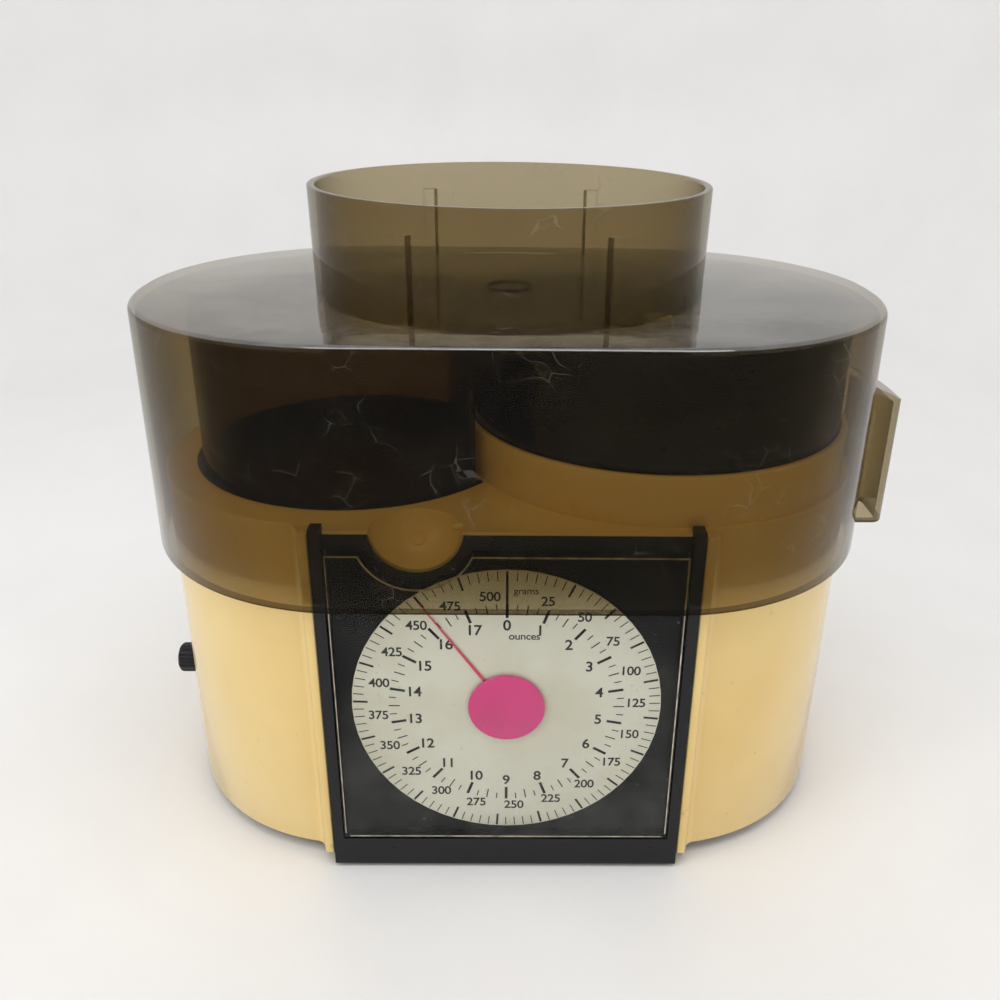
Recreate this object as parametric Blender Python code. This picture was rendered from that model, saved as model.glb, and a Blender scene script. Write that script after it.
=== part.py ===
"""Kitchen scale and food processor base with nested bowls under a smoked cover.

Metres, Z up, front towards -Y. The base stands on the plane z = 0.
"""

import math

import bmesh
import bpy

# Fits
GAP = 0.0003
PIVOT_GAP = 0.0003

# Base housing
BODY_HALF_X = 0.12275
BODY_HALF_Y = 0.0685
BODY_CORNER = BODY_HALF_Y - 0.0005
BODY_BOTTOM = 0.0045
DECK_Z = 0.1309
WALL = 0.0026

# Round tower that locates the drum, set in from the right end
TOWER_END = 0.00255
TOWER_RISE = 0.0166
TOWER_R = BODY_HALF_Y - 0.0003
TOWER_X = BODY_HALF_X - TOWER_R - TOWER_END
TOWER_TOP = DECK_Z + TOWER_RISE

# Weighing well, concentric with the left end
WELL_MARGIN = 0.0106
WELL_TOWER_GAP = 0.0008
WELL_DEPTH = 0.0309
PLATFORM_DROP = 0.0189
RING_WALL = 0.0016
PLATE_THICK = 0.0025
WELL_X = BODY_CORNER - BODY_HALF_X
WELL_R = BODY_CORNER - WELL_MARGIN
WELL_FLOOR = DECK_Z - WELL_DEPTH
PLATFORM_Z = DECK_Z - PLATFORM_DROP

# Bowl and drum
BOWL_WALL = 0.0022
DRUM_RISE = 0.0561
DRUM_WALL = 0.0025
BOWL_SHORTER = 0.0030
BOWL_PLAY = 0.0004
DRUM_TOP = DECK_Z + DRUM_RISE
BOWL_TOP = DRUM_TOP - BOWL_SHORTER

# Smoked cover, resting on the drum's rim
COVER_WALL = 0.0025
COVER_OUT_X = 0.00355
COVER_OUT_Y = 0.0109
COVER_DRAFT = 0.0005
COVER_SKIRT = 0.0249
COVER_EDGE = 0.0025
COVER_HALF_X = BODY_HALF_X + COVER_OUT_X
COVER_HALF_Y = BODY_HALF_Y + COVER_OUT_Y
COVER_CORNER = COVER_HALF_Y - 0.0026
COVER_BOTTOM = DECK_Z - COVER_SKIRT
COVER_TOP = DRUM_TOP + GAP + COVER_WALL
COLLAR_R = 0.0660
COLLAR_TAPER = 0.0007
COLLAR_RISE = 0.0347
COLLAR_WALL = 0.0026
COLLAR_FOOT_R = COLLAR_R - COLLAR_TAPER
COLLAR_TOP = COVER_TOP + COLLAR_RISE
RIB_ANGLES = (60.0, 120.0, 240.0, 300.0)
RIB_WIDTH = 0.0050
RIB_DEPTH = 0.0028
RIB_DROP = 0.0090
HANDLE_OUT = 0.0130
HANDLE_HALF_Y = 0.0112
HANDLE_TALL = 0.0542
HANDLE_SLOPE = 0.56
HANDLE_WALL = 0.0022
HANDLE_REACH = COVER_HALF_X + HANDLE_OUT
HANDLE_LOW = COVER_BOTTOM - 0.0002
HANDLE_HIGH = HANDLE_LOW + HANDLE_TALL

# Dial and needle, turning on an axis along Y
DIAL_R = 0.0511
DIAL_Z = 0.0659
FRONT = -BODY_HALF_Y

# Front window, from the front inwards
DIAL_MARGIN = 0.0054
BEZEL_RAIL = 0.0036
BEZEL_HALF_X = DIAL_R + DIAL_MARGIN + BEZEL_RAIL
BEZEL_LOW = 0.0014
BEZEL_FRONT = FRONT - 0.0061
BEAD_FRONT = FRONT - 0.0053
BEAD_WIDTH = 0.0030
WINDOW_FRONT = FRONT - 0.0058
WINDOW_BACK = FRONT - 0.0035
LEDGE_FRONT = FRONT - 0.0035
LEDGE_THICK = 0.0011
HEAD_FRONT = FRONT - 0.0029
HEAD_LOW = DECK_Z - 0.0066
HEAD_TOP = DECK_Z - 0.0015
RAIL_TOP = DECK_Z + 0.0011
SILL_TOP = 0.0127
OPENING_HALF_X = BEZEL_HALF_X - 0.0018
HUB_R = 0.0127
HUB_FRONT = FRONT - 0.0032
HUB_BACK = FRONT - 0.0027
NEEDLE_FRONT = FRONT - 0.0024
NEEDLE_BACK = FRONT - 0.0021
NEEDLE_REACH = 0.0480
NEEDLE_DEG = -35.4
DIAL_FRONT = FRONT - 0.0018
DIAL_BACK = FRONT - 0.0013
PANEL_FRONT = FRONT - 0.0010
PANEL_BACK = FRONT + 0.0010
SHAFT_R = 0.0010
SHAFT_END = FRONT + 0.0145
RACK_PITCH = 0.0010
PINION_TEETH = 10
PINION_FRONT = FRONT + 0.0110
PINION_BACK = FRONT + 0.0140

# Finger scoop in the front edge of the deck
SCOOP_R = 0.0142
SCOOP_WALL = 0.0020
SCOOP_FROM_END = 0.0178
SCOOP_X = SCOOP_FROM_END + SCOOP_R - BEZEL_HALF_X
SCOOP_Y = FRONT - 0.0010
SCOOP_Z = DECK_Z

# Weighing movement
ARM_DROP = 0.0310
ARM_THICK = 0.0030
STEM_R = 0.0040
ARM_Z = PLATFORM_Z - ARM_DROP
STEM_LOW = ARM_Z - 0.0210
SPRING_R = 0.0078
SPRING_WIRE = 0.0007
SPRING_TURNS = 6
ZERO_Z = 0.0380
ZERO_SHAFT_R = 0.0020
CAM_R = 0.0050
CAM_OFFSET = 0.0010
SEAT_Z = ZERO_Z + CAM_R + CAM_OFFSET + GAP
SEAT_THICK = 0.0025
KNOB_OUT = 0.00975
KNOB_R = 0.0061
KNOB_FLUTES = 10
KNOB_REACH = BODY_HALF_X + KNOB_OUT

# Drive, hung below the deck
GEAR_MODULE = 0.0010
WHEEL_TEETH = 48
DRIVE_TEETH = 12
BRACKET_DROP = 0.0459
BRACKET_THICK = 0.0022
BRACKET_Z = DECK_Z - BRACKET_DROP
GEAR_LOW = BRACKET_Z + BRACKET_THICK + 0.0033
GEAR_TOP = GEAR_LOW + 0.0080
SPINDLE_R = 0.0040
SPINDLE_TOP = DECK_Z + 0.0271
NECK_TOP = DECK_Z + 0.0071
MOTOR_R = 0.0320
MOTOR_LOW = 0.0110
MOTOR_TOP = BRACKET_Z - 0.0005
LEG = 0.0060
BRACKET_LEG_Y = MOTOR_R + LEG / 2
DISC_DROP = 0.0107
DISC_Z = DRUM_TOP - DISC_DROP
DISC_THICK = 0.0016
DISC_PLAY = 0.0012
BUTTON_R = 0.0035
BUTTON_Y = 0.0480

# Base plate, feet and screws
BASE_THICK = 0.0025
FOOT_R = 0.0095
FOOT_X = BODY_HALF_X - 0.04325
FOOT_Y = BODY_HALF_Y - 0.0185
BOSS_R = 0.0045
BOSS_TOP = 0.0240
SCREW_R = 0.0015
SCREW_HEAD_R = 0.0032
GLAND_Z = 0.0200
GLAND_R = 0.0060
GLAND_X = TOWER_X + 0.0300

STEPS = 12
ROUND = 32

# The knob and the handle reach out by different amounts; this puts the middle of both on x = 0.
SHIFT_X = (KNOB_REACH - HANDLE_REACH) / 2


def clear_scene():
    for obj in list(bpy.data.objects):
        bpy.data.objects.remove(obj, do_unlink=True)


def finish_mesh(name, bm, at=(0.0, 0.0, 0.0)):
    """Turns a bmesh given in base coordinates into an object whose origin is at the point given."""
    bmesh.ops.remove_doubles(bm, verts=bm.verts, dist=1e-7)
    bmesh.ops.recalc_face_normals(bm, faces=bm.faces)
    for vert in bm.verts:
        vert.co.x -= at[0]
        vert.co.y -= at[1]
        vert.co.z -= at[2]
    mesh = bpy.data.meshes.new(name)
    bm.to_mesh(mesh)
    bm.free()
    mesh.shade_smooth()
    mesh.set_sharp_from_angle(angle=math.radians(35))
    obj = bpy.data.objects.new(name, mesh)
    obj.location = (at[0] + SHIFT_X, at[1], at[2])
    bpy.context.scene.collection.objects.link(obj)
    return obj


def loft(name, rings, at=(0.0, 0.0, 0.0), looped=False):
    """A solid through rings of 3-D points: capped at both ends, or closed on itself when looped."""
    bm = bmesh.new()
    rows = [[bm.verts.new(point) for point in ring] for ring in rings]
    pairs = list(zip(rows, rows[1:]))
    if looped:
        pairs.append((rows[-1], rows[0]))
    for low, high in pairs:
        for i in range(len(low)):
            j = (i + 1) % len(low)
            bm.faces.new((low[i], low[j], high[j], high[i]))
    if not looped:
        bm.faces.new(list(reversed(rows[0])))
        bm.faces.new(rows[-1])
    return finish_mesh(name, bm, at)


def arc(cx, cy, radius, start, end, steps):
    points = []
    for i in range(steps + 1):
        angle = math.radians(start + (end - start) * i / steps)
        points.append((cx + radius * math.cos(angle), cy + radius * math.sin(angle)))
    return points


def circle(cx, cy, radius, steps=ROUND):
    return arc(cx, cy, radius, 0.0, 360.0, steps)[:-1]


def oblong(half_x, half_y, corner, steps=STEPS):
    points = []
    for i, (sx, sy) in enumerate(((1, 1), (-1, 1), (-1, -1), (1, -1))):
        cx = sx * (half_x - corner)
        cy = sy * (half_y - corner)
        points += arc(cx, cy, corner, 90.0 * i, 90.0 * (i + 1), steps)
    return points


def ray_to_tower(degrees, radius):
    """How far a ray from the well's centre runs before it meets a circle about the tower."""
    span = TOWER_X - WELL_X
    angle = math.radians(degrees)
    inside = radius**2 - (span * math.sin(angle)) ** 2
    if inside < 0:
        return span
    return span * math.cos(angle) - math.sqrt(inside)


def nest_plan(inset):
    """The well's round plan, drawn in by the inset, with a concave side wherever the tower reaches into it."""
    r1 = WELL_R - inset
    r2 = TOWER_R + WELL_TOWER_GAP + inset
    span = TOWER_X - WELL_X
    overlap = (span**2 + r1**2 - r2**2) / (2 * span * r1)
    near = max(math.degrees(math.acos(min(overlap, 1.0))), 6.0)
    points = arc(WELL_X, 0.0, r1, near, 360.0 - near, 36)
    for i in range(1, 8):
        degrees = -near + 2 * near * i / 8
        reach = min(r1, ray_to_tower(degrees, r2))
        angle = math.radians(degrees)
        points.append((WELL_X + reach * math.cos(angle), reach * math.sin(angle)))
    return points


def level(outline, z):
    return [(x, y, z) for x, y in outline]


def upright(outline, y):
    """An outline given in x and z, stood up at one y."""
    return [(x, y, z) for x, z in outline]


def sideways(outline, x):
    """An outline given in y and z, stood up at one x."""
    return [(x, y, z) for y, z in outline]


def box(name, low, high, at=(0.0, 0.0, 0.0)):
    corners = [(low[0], low[1]), (high[0], low[1]), (high[0], high[1]), (low[0], high[1])]
    return loft(name, [level(corners, low[2]), level(corners, high[2])], at)


def post(name, x, y, radius, low, high, steps=ROUND, at=(0.0, 0.0, 0.0)):
    plan = circle(x, y, radius, steps)
    return loft(name, [level(plan, low), level(plan, high)], at)


def turned(name, x, y, profile, steps=ROUND, at=(0.0, 0.0, 0.0), looped=False):
    """A round solid about a vertical axis from (radius, z) pairs."""
    rings = [level(circle(x, y, radius, steps), z) for radius, z in profile]
    return loft(name, rings, at, looped)


def ball(name, centre, radius):
    bm = bmesh.new()
    bmesh.ops.create_uvsphere(bm, u_segments=24, v_segments=14, radius=radius)
    for vert in bm.verts:
        vert.co.x += centre[0]
        vert.co.y += centre[1]
        vert.co.z += centre[2]
    return finish_mesh(name, bm)


def boolean(obj, other, operation):
    """Joins or cuts with a helper, which then stays hidden."""
    modifier = obj.modifiers.new(other.name, "BOOLEAN")
    modifier.operation = operation
    modifier.solver = "EXACT"
    modifier.object = other
    other.hide_render = True
    other.display_type = "WIRE"


def join(obj, other):
    boolean(obj, other, "UNION")


def cut(obj, other):
    boolean(obj, other, "DIFFERENCE")


def keep(obj, other):
    boolean(obj, other, "INTERSECT")


def surface(obj, colour, roughness, metallic=0.0, alpha=1.0):
    material = bpy.data.materials.new(obj.name)
    material.use_nodes = True
    shader = material.node_tree.nodes["Principled BSDF"]
    shader.inputs["Base Color"].default_value = (*colour, 1.0)
    shader.inputs["Roughness"].default_value = roughness
    shader.inputs["Metallic"].default_value = metallic
    shader.inputs["Alpha"].default_value = alpha
    material.diffuse_color = (*colour, alpha)
    obj.data.materials.append(material)
    return obj


CREAM = (0.89, 0.68, 0.29)
BLACK = (0.012, 0.012, 0.014)
SMOKE = (0.10, 0.08, 0.06)
STEEL = (0.62, 0.63, 0.65)


# ---------------------------------------------------------------- housing


def scoop_cup(housing):
    """The quarter-round cup under the deck's front edge, for a finger behind the cover's rim."""
    cup = ball("scoop_cup", (SCOOP_X, SCOOP_Y, SCOOP_Z), SCOOP_R + SCOOP_WALL)
    reach = SCOOP_R + 2 * SCOOP_WALL
    low = (SCOOP_X - reach, SCOOP_Y, SCOOP_Z - reach)
    high = (SCOOP_X + reach, SCOOP_Y + reach, DECK_Z - 0.0005)
    keep(cup, box("scoop_bounds", low, high))
    join(housing, cup)


def scoop_hollow(housing):
    cut(housing, ball("scoop_hollow", (SCOOP_X, SCOOP_Y, SCOOP_Z), SCOOP_R))
    mouth = circle(SCOOP_X, SCOOP_Z, SCOOP_R, 40)
    rings = [upright(mouth, SCOOP_Y - 0.008), upright(mouth, SCOOP_Y + 0.0002)]
    cut(housing, loft("scoop_mouth", rings))


def bead_plan(side):
    inner = BEZEL_HALF_X + GAP
    outer = inner + BEAD_WIDTH
    points = [(inner, BEAD_FRONT), (outer - 0.0005, BEAD_FRONT), (outer, BEAD_FRONT + 0.0006)]
    points += arc(outer + 0.0042, BEAD_FRONT + 0.0022, 0.0036, 180.0, 108.0, 6)
    points += [(outer + 0.0030, -BODY_HALF_Y + 0.0016), (inner, -BODY_HALF_Y + 0.0016)]
    return [(side * x, y) for x, y in points]


def window_surround(housing):
    """The raised bead on both sides of the window, and the thin ledge that carries the deck over it."""
    for side, name in ((-1, "bead_left"), (1, "bead_right")):
        plan = bead_plan(side)
        rings = [level(plan, BODY_BOTTOM + 0.0008), level(plan, DECK_Z - 0.0002)]
        join(housing, loft(name, rings))
    half = BEZEL_HALF_X - BEZEL_RAIL - GAP
    low = (-half, LEDGE_FRONT, DECK_Z - LEDGE_THICK)
    high = (half, -BODY_HALF_Y + 0.0010, DECK_Z)
    join(housing, box("ledge", low, high))
    low = (-OPENING_HALF_X, -BODY_HALF_Y - 0.0010, BODY_BOTTOM + 0.0030)
    high = (OPENING_HALF_X, -BODY_HALF_Y + WALL + 0.0010, HEAD_LOW + GAP)
    cut(housing, box("window_opening", low, high))


def boss_places():
    """Where the four screws of the base plate go, close inside the rounded ends."""
    reach = BODY_CORNER - WALL - BOSS_R + 0.0012
    centre = BODY_HALF_X - BODY_CORNER
    places = []
    for sx in (-1, 1):
        for sy in (-1, 1):
            angle = math.radians(48.0)
            places.append((sx * (centre + reach * math.cos(angle)), sy * reach * math.sin(angle)))
    return places


def screw_bosses(housing):
    for i, (x, y) in enumerate(boss_places()):
        low = BODY_BOTTOM + BASE_THICK + 2 * GAP
        join(housing, post(f"boss_{i}", x, y, BOSS_R, low, BOSS_TOP, 20))
        depth = BOSS_TOP - 0.003
        cut(housing, post(f"boss_hole_{i}", x, y, SCREW_R + PIVOT_GAP, low - 0.001, depth, 16))


def weighing_well(housing):
    rings = [level(nest_plan(-WALL), WELL_FLOOR - WALL), level(nest_plan(-WALL), DECK_Z - 0.0010)]
    join(housing, loft("well_wall", rings))
    rings = [level(nest_plan(0.0), WELL_FLOOR), level(nest_plan(0.0), DECK_Z + 0.0010)]
    cut(housing, loft("well_hollow", rings))
    hole = STEM_R + PIVOT_GAP
    cut(housing, post("stem_hole", WELL_X, 0.0, hole, WELL_FLOOR - 0.006, WELL_FLOOR + 0.002, 32))


def tower(housing):
    outer = TOWER_R
    inner = TOWER_R - WALL
    lip = 0.0006
    profile = [
        (outer, DECK_Z - 0.0010),
        (outer, TOWER_TOP - lip),
        (outer - lip, TOWER_TOP),
        (inner + lip, TOWER_TOP),
        (inner, TOWER_TOP - lip),
        (inner, DECK_Z - 0.0010),
    ]
    join(housing, turned("tower_wall", TOWER_X, 0.0, profile, 56, looped=True))
    neck = SPINDLE_R + PIVOT_GAP
    neck_low = GEAR_TOP + 0.0040
    join(housing, post("neck", TOWER_X, 0.0, neck + WALL, neck_low, NECK_TOP, 32))
    cut(housing, post("neck_bore", TOWER_X, 0.0, neck, neck_low - 0.001, NECK_TOP + 0.001, 32))
    button = BUTTON_R + PIVOT_GAP
    cut(housing, post("button_hole", TOWER_X, BUTTON_Y, button, DECK_Z - 0.006, DECK_Z + 0.002, 24))


def base_housing():
    plan = (BODY_HALF_X, BODY_HALF_Y, BODY_CORNER)
    edge = 0.0008
    draft = 0.0002
    rings = [
        level(oblong(*plan), BODY_BOTTOM),
        level(oblong(*[size - draft for size in plan]), DECK_Z - edge),
        level(oblong(*[size - draft - 0.3 * edge for size in plan]), DECK_Z - 0.3 * edge),
        level(oblong(*[size - draft - edge for size in plan]), DECK_Z),
        level(oblong(*[size - WALL - draft for size in plan]), DECK_Z - WALL),
        level(oblong(*[size - WALL for size in plan]), BODY_BOTTOM),
    ]
    order = [rings[4], rings[5], rings[0], rings[1], rings[2], rings[3]]
    housing = loft("base_housing", order)
    scoop_cup(housing)
    weighing_well(housing)
    tower(housing)
    window_surround(housing)
    screw_bosses(housing)
    scoop_hollow(housing)
    hole = ZERO_SHAFT_R + PIVOT_GAP
    bore = circle(0.0, ZERO_Z, hole, 24)
    rings = [sideways(bore, -BODY_HALF_X - 0.002), sideways(bore, -BODY_HALF_X + 0.006)]
    cut(housing, loft("zero_hole", rings))
    bore = circle(GLAND_X, GLAND_Z, GLAND_R + GAP, 32)
    rings = [upright(bore, BODY_HALF_Y - 0.012), upright(bore, BODY_HALF_Y + 0.002)]
    cut(housing, loft("gland_hole", rings))
    return surface(housing, CREAM, 0.28)


# ---------------------------------------------------------------- underside


def base_plate():
    inset = WALL + GAP
    plan = oblong(BODY_HALF_X - inset, BODY_HALF_Y - inset, BODY_CORNER - inset)
    low = BODY_BOTTOM + GAP
    plate = loft("base_plate", [level(plan, low), level(plan, low + BASE_THICK)])
    for i, (x, y) in enumerate(boss_places()):
        cut(plate, post(f"screw_hole_{i}", x, y, SCREW_R + PIVOT_GAP, 0.0, 0.012, 16))
    for i in range(7):
        x = TOWER_X + 0.030 + 0.006 * (i - 3)
        low_corner = (x - 0.0012, -0.018, 0.0)
        cut(plate, box(f"vent_{i}", low_corner, (x + 0.0012, 0.018, 0.012)))
    for name, x in (("outer_post", WELL_X - 0.0125), ("inner_post", WELL_X + 0.0110)):
        low_corner = (x - 0.0015, -0.006, low + 0.001)
        join(plate, box(name, low_corner, (x + 0.0015, 0.006, ZERO_Z + 0.0055)))
        bore = circle(0.0, ZERO_Z, ZERO_SHAFT_R + PIVOT_GAP, 24)
        rings = [sideways(bore, x - 0.003), sideways(bore, x + 0.003)]
        cut(plate, loft(f"{name}_bore", rings))
    return surface(plate, (0.05, 0.05, 0.052), 0.55)


def feet():
    profile = [
        (FOOT_R - 0.0012, 0.0),
        (FOOT_R - 0.0003, 0.0006),
        (FOOT_R, 0.0016),
        (FOOT_R, BODY_BOTTOM - 0.0002),
    ]
    names = ("foot_front_left", "foot_front_right", "foot_rear_left", "foot_rear_right")
    places = ((-1, -1), (1, -1), (-1, 1), (1, 1))
    for name, (sx, sy) in zip(names, places):
        foot = turned(name, sx * FOOT_X, sy * FOOT_Y, profile, 24)
        surface(foot, (0.015, 0.015, 0.016), 0.7)


def base_screws():
    """Pan-head screws with a cross recess, driven up into the housing's bosses."""
    for i, (x, y) in enumerate(boss_places()):
        top = BODY_BOTTOM
        profile = [
            (SCREW_HEAD_R * 0.72, top - 0.0021),
            (SCREW_HEAD_R, top - 0.0013),
            (SCREW_HEAD_R, top),
            (SCREW_R, top),
            (SCREW_R, BOSS_TOP - 0.005),
        ]
        screw = turned(f"base_screw_{i + 1}", x, y, profile, 14)
        for j, (half_x, half_y) in enumerate(((0.0016, 0.0003), (0.0003, 0.0016))):
            low = (x - half_x, y - half_y, top - 0.004)
            cut(screw, box(f"recess_{i}_{j}", low, (x + half_x, y + half_y, top - 0.0009)))
        surface(screw, STEEL, 0.35, 1.0)


def cord_gland():
    """The strain relief at the back that the mains cord would pass through."""
    back = BODY_HALF_Y
    steps = 24
    profile = [
        (GLAND_R, back - 0.0060),
        (GLAND_R, back + 0.0004),
        (GLAND_R + 0.0020, back + 0.0004),
        (GLAND_R + 0.0020, back + 0.0024),
        (GLAND_R - 0.0010, back + 0.0034),
        (GLAND_R - 0.0022, back + 0.0100),
        (0.0030, back + 0.0100),
        (0.0030, back - 0.0060),
    ]
    rings = [upright(circle(GLAND_X, GLAND_Z, radius, steps), y) for radius, y in profile]
    return surface(loft("cord_gland", rings, looped=True), BLACK, 0.6)


# ---------------------------------------------------------------- front window and dial


def front_bezel():
    half = BEZEL_HALF_X
    back = -BODY_HALF_Y - 0.0005
    inner = half - BEZEL_RAIL
    bezel = box("front_bezel", (-half, BEZEL_FRONT, BEZEL_LOW), (half, back, SILL_TOP))
    for side, name in ((-1, "rail_left"), (1, "rail_right")):
        low_x = min(side * half, side * inner)
        high_x = max(side * half, side * inner)
        low = (low_x, BEZEL_FRONT, BEZEL_LOW + 0.0010)
        join(bezel, box(name, low, (high_x, back, RAIL_TOP)))
    low = (-inner - 0.0010, HEAD_FRONT, HEAD_LOW)
    join(bezel, box("head_bar", low, (inner + 0.0010, back, HEAD_TOP)))
    hoop_back = DIAL_FRONT - GAP
    hoop = circle(SCOOP_X, SCOOP_Z, SCOOP_R + 0.0044, 48)
    hoop = [(x, min(z, HEAD_TOP - 0.0003)) for x, z in hoop]
    hoop = [hoop[i] for i in range(len(hoop)) if hoop[i] != hoop[i - 1]]
    join(bezel, loft("hoop", [upright(hoop, HEAD_FRONT + 0.0001), upright(hoop, hoop_back)]))
    notch = circle(SCOOP_X, SCOOP_Z, SCOOP_R + 0.0006, 48)
    cut(bezel, loft("notch", [upright(notch, BEZEL_FRONT), upright(notch, back + 0.004)]))
    seat = circle(SCOOP_X, SCOOP_Z, SCOOP_R + SCOOP_WALL + GAP, 48)
    cut(bezel, loft("cup_seat", [upright(seat, SCOOP_Y - GAP), upright(seat, back + 0.004)]))
    tongue = OPENING_HALF_X - GAP
    for side, name in ((-1, "tongue_left"), (1, "tongue_right")):
        low_x = min(side * tongue, side * inner)
        high_x = max(side * tongue, side * inner)
        low = (low_x, back - 0.0010, BODY_BOTTOM + 0.0060)
        join(bezel, box(name, low, (high_x, back + 0.0036, HEAD_LOW - 0.0010)))
    return surface(bezel, BLACK, 0.32)


def dial_window():
    half = BEZEL_HALF_X - BEZEL_RAIL - GAP
    low = (-half, WINDOW_FRONT, SILL_TOP + GAP)
    window = box("dial_window", low, (half, WINDOW_BACK, HEAD_LOW - GAP))
    notch = circle(SCOOP_X, SCOOP_Z, SCOOP_R + 0.0047, 48)
    rings = [upright(notch, WINDOW_FRONT - 0.002), upright(notch, WINDOW_BACK + 0.002)]
    cut(window, loft("window_notch", rings))
    return surface(window, (0.93, 0.95, 0.94), 0.06, alpha=0.15)


def dial_panel():
    half = BEZEL_HALF_X - BEZEL_RAIL - 2 * GAP
    low = (-half, PANEL_FRONT, SILL_TOP + GAP)
    panel = box("dial_panel", low, (half, PANEL_BACK, HEAD_LOW - GAP))
    notch = circle(SCOOP_X, SCOOP_Z, SCOOP_R + 0.0047, 48)
    rings = [upright(notch, PANEL_FRONT - 0.002), upright(notch, PANEL_BACK + 0.002)]
    cut(panel, loft("panel_notch", rings))
    bush = circle(0.0, DIAL_Z, 0.0040, 32)
    rings = [upright(bush, PANEL_BACK - 0.0005), upright(bush, PINION_FRONT - 2 * GAP)]
    join(panel, loft("bush", rings))
    bore = circle(0.0, DIAL_Z, SHAFT_R + PIVOT_GAP, 24)
    rings = [upright(bore, PANEL_FRONT - 0.002), upright(bore, PINION_FRONT + 0.004)]
    cut(panel, loft("bush_bore", rings))
    return surface(panel, (0.02, 0.02, 0.023), 0.5)


def dial_face():
    rings = []
    for radius, y in (
        (DIAL_R, DIAL_FRONT),
        (DIAL_R, DIAL_BACK),
        (SHAFT_R + 2 * PIVOT_GAP, DIAL_BACK),
        (SHAFT_R + 2 * PIVOT_GAP, DIAL_FRONT),
    ):
        rings.append(upright(circle(0.0, DIAL_Z, radius, 56), y))
    return surface(loft("dial_face", rings, looped=True), (0.78, 0.76, 0.69), 0.5)


AXIS = (0.0, 0.0, DIAL_Z)


def needle():
    """A thin pointer on a ring; it lies at the angle shown with nothing on the platform."""
    ring_r = 0.0040
    angle = math.radians(90.0 - NEEDLE_DEG)
    along = (math.cos(angle), math.sin(angle))
    across = (-along[1], along[0])
    corners = ((0.0030, 0.0006), (0.0030, -0.0006), (NEEDLE_REACH, -0.00015), (NEEDLE_REACH, 0.00015))
    blade = []
    for reach, side in corners:
        x = reach * along[0] + side * across[0]
        z = DIAL_Z + reach * along[1] + side * across[1]
        blade.append((x, z))
    ring = circle(0.0, DIAL_Z, ring_r, 32)
    pointer = loft("needle", [upright(ring, NEEDLE_FRONT), upright(ring, NEEDLE_BACK)], AXIS)
    front = NEEDLE_FRONT + 0.00002
    back = NEEDLE_BACK - 0.00002
    join(pointer, loft("pointer_blade", [upright(blade, front), upright(blade, back)]))
    bore = circle(0.0, DIAL_Z, SHAFT_R + PIVOT_GAP, 20)
    rings = [upright(bore, NEEDLE_FRONT - 0.001), upright(bore, NEEDLE_BACK + 0.001)]
    cut(pointer, loft("needle_bore", rings))
    return surface(pointer, (0.62, 0.03, 0.10), 0.4)


def needle_hub():
    rings = []
    edge = 0.00015
    for radius, y in ((HUB_R - edge, HUB_FRONT), (HUB_R, HUB_FRONT + edge), (HUB_R, HUB_BACK)):
        rings.append(upright(circle(0.0, DIAL_Z, radius, 40), y))
    return surface(loft("needle_hub", rings, AXIS), (0.72, 0.04, 0.26), 0.35)


def needle_shaft():
    plan = circle(0.0, DIAL_Z, SHAFT_R, 20)
    rings = [upright(plan, HUB_BACK + GAP), upright(plan, SHAFT_END)]
    return surface(loft("needle_shaft", rings, AXIS), STEEL, 0.3, 1.0)


def toothed(cx, cy, teeth, tip, root, turn=0.0, share=0.30):
    """A spur gear's outline: straight narrow teeth, so that a pair runs with play."""
    points = []
    pitch_angle = 2 * math.pi / teeth
    for i in range(teeth):
        middle = math.radians(turn) + i * pitch_angle
        for radius, width in ((root, 0.5), (tip, 0.28), (tip, -0.28), (root, -0.5)):
            angle = middle - width * share * pitch_angle * 2
            points.append((cx + radius * math.cos(angle), cy + radius * math.sin(angle)))
    return points


def needle_pinion():
    radius = PINION_TEETH * RACK_PITCH / (2 * math.pi)
    outline = toothed(0.0, DIAL_Z, PINION_TEETH, radius + 0.00022, radius - 0.00030)
    rings = [upright(outline, PINION_FRONT), upright(outline, PINION_BACK)]
    pinion = loft("needle_pinion", rings, AXIS)
    bore = circle(0.0, DIAL_Z, SHAFT_R + 0.0001, 20)
    rings = [upright(bore, PINION_FRONT - 0.001), upright(bore, PINION_BACK + 0.001)]
    cut(pinion, loft("pinion_bore", rings))
    return surface(pinion, (0.72, 0.55, 0.25), 0.35, 1.0)


# ---------------------------------------------------------------- weighing movement


def rack():
    radius = PINION_TEETH * RACK_PITCH / (2 * math.pi)
    tip = radius - 0.00022
    root = radius + 0.00034
    points = [(root + 0.0030, ARM_Z - GAP), (root, ARM_Z - GAP)]
    first = 13
    last = -4
    for i in range(first, last - 1, -1):
        middle = DIAL_Z + (i + 0.5) * RACK_PITCH
        points += [
            (root, middle + 0.00030),
            (tip, middle + 0.00014),
            (tip, middle - 0.00014),
            (root, middle - 0.00030),
        ]
    low = DIAL_Z + (last - 0.5) * RACK_PITCH
    points += [(root, low), (root + 0.0030, low)]
    rings = [upright(points, PINION_FRONT), upright(points, PINION_BACK)]
    return surface(loft("rack", rings), (0.70, 0.56, 0.30), 0.35, 1.0)


def carriage_arm():
    """The bent plate that ties the rack to the stem under the platform."""
    reach_x = 0.0060
    reach_y = (PINION_FRONT + PINION_BACK) / 2
    plan = arc(WELL_X, 0.0, 0.0100, 20.0, 250.0, 20)
    plan += [(-0.0300, reach_y - 0.0030), (reach_x, reach_y - 0.0030)]
    plan += [(reach_x, reach_y + 0.0040), (-0.0270, reach_y + 0.0040)]
    arm = loft("carriage_arm", [level(plan, ARM_Z), level(plan, ARM_Z + ARM_THICK)])
    hole = STEM_R + PIVOT_GAP
    cut(arm, post("arm_bore", WELL_X, 0.0, hole, ARM_Z - 0.002, ARM_Z + ARM_THICK + 0.002, 32))
    return surface(arm, STEEL, 0.4, 1.0)


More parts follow.
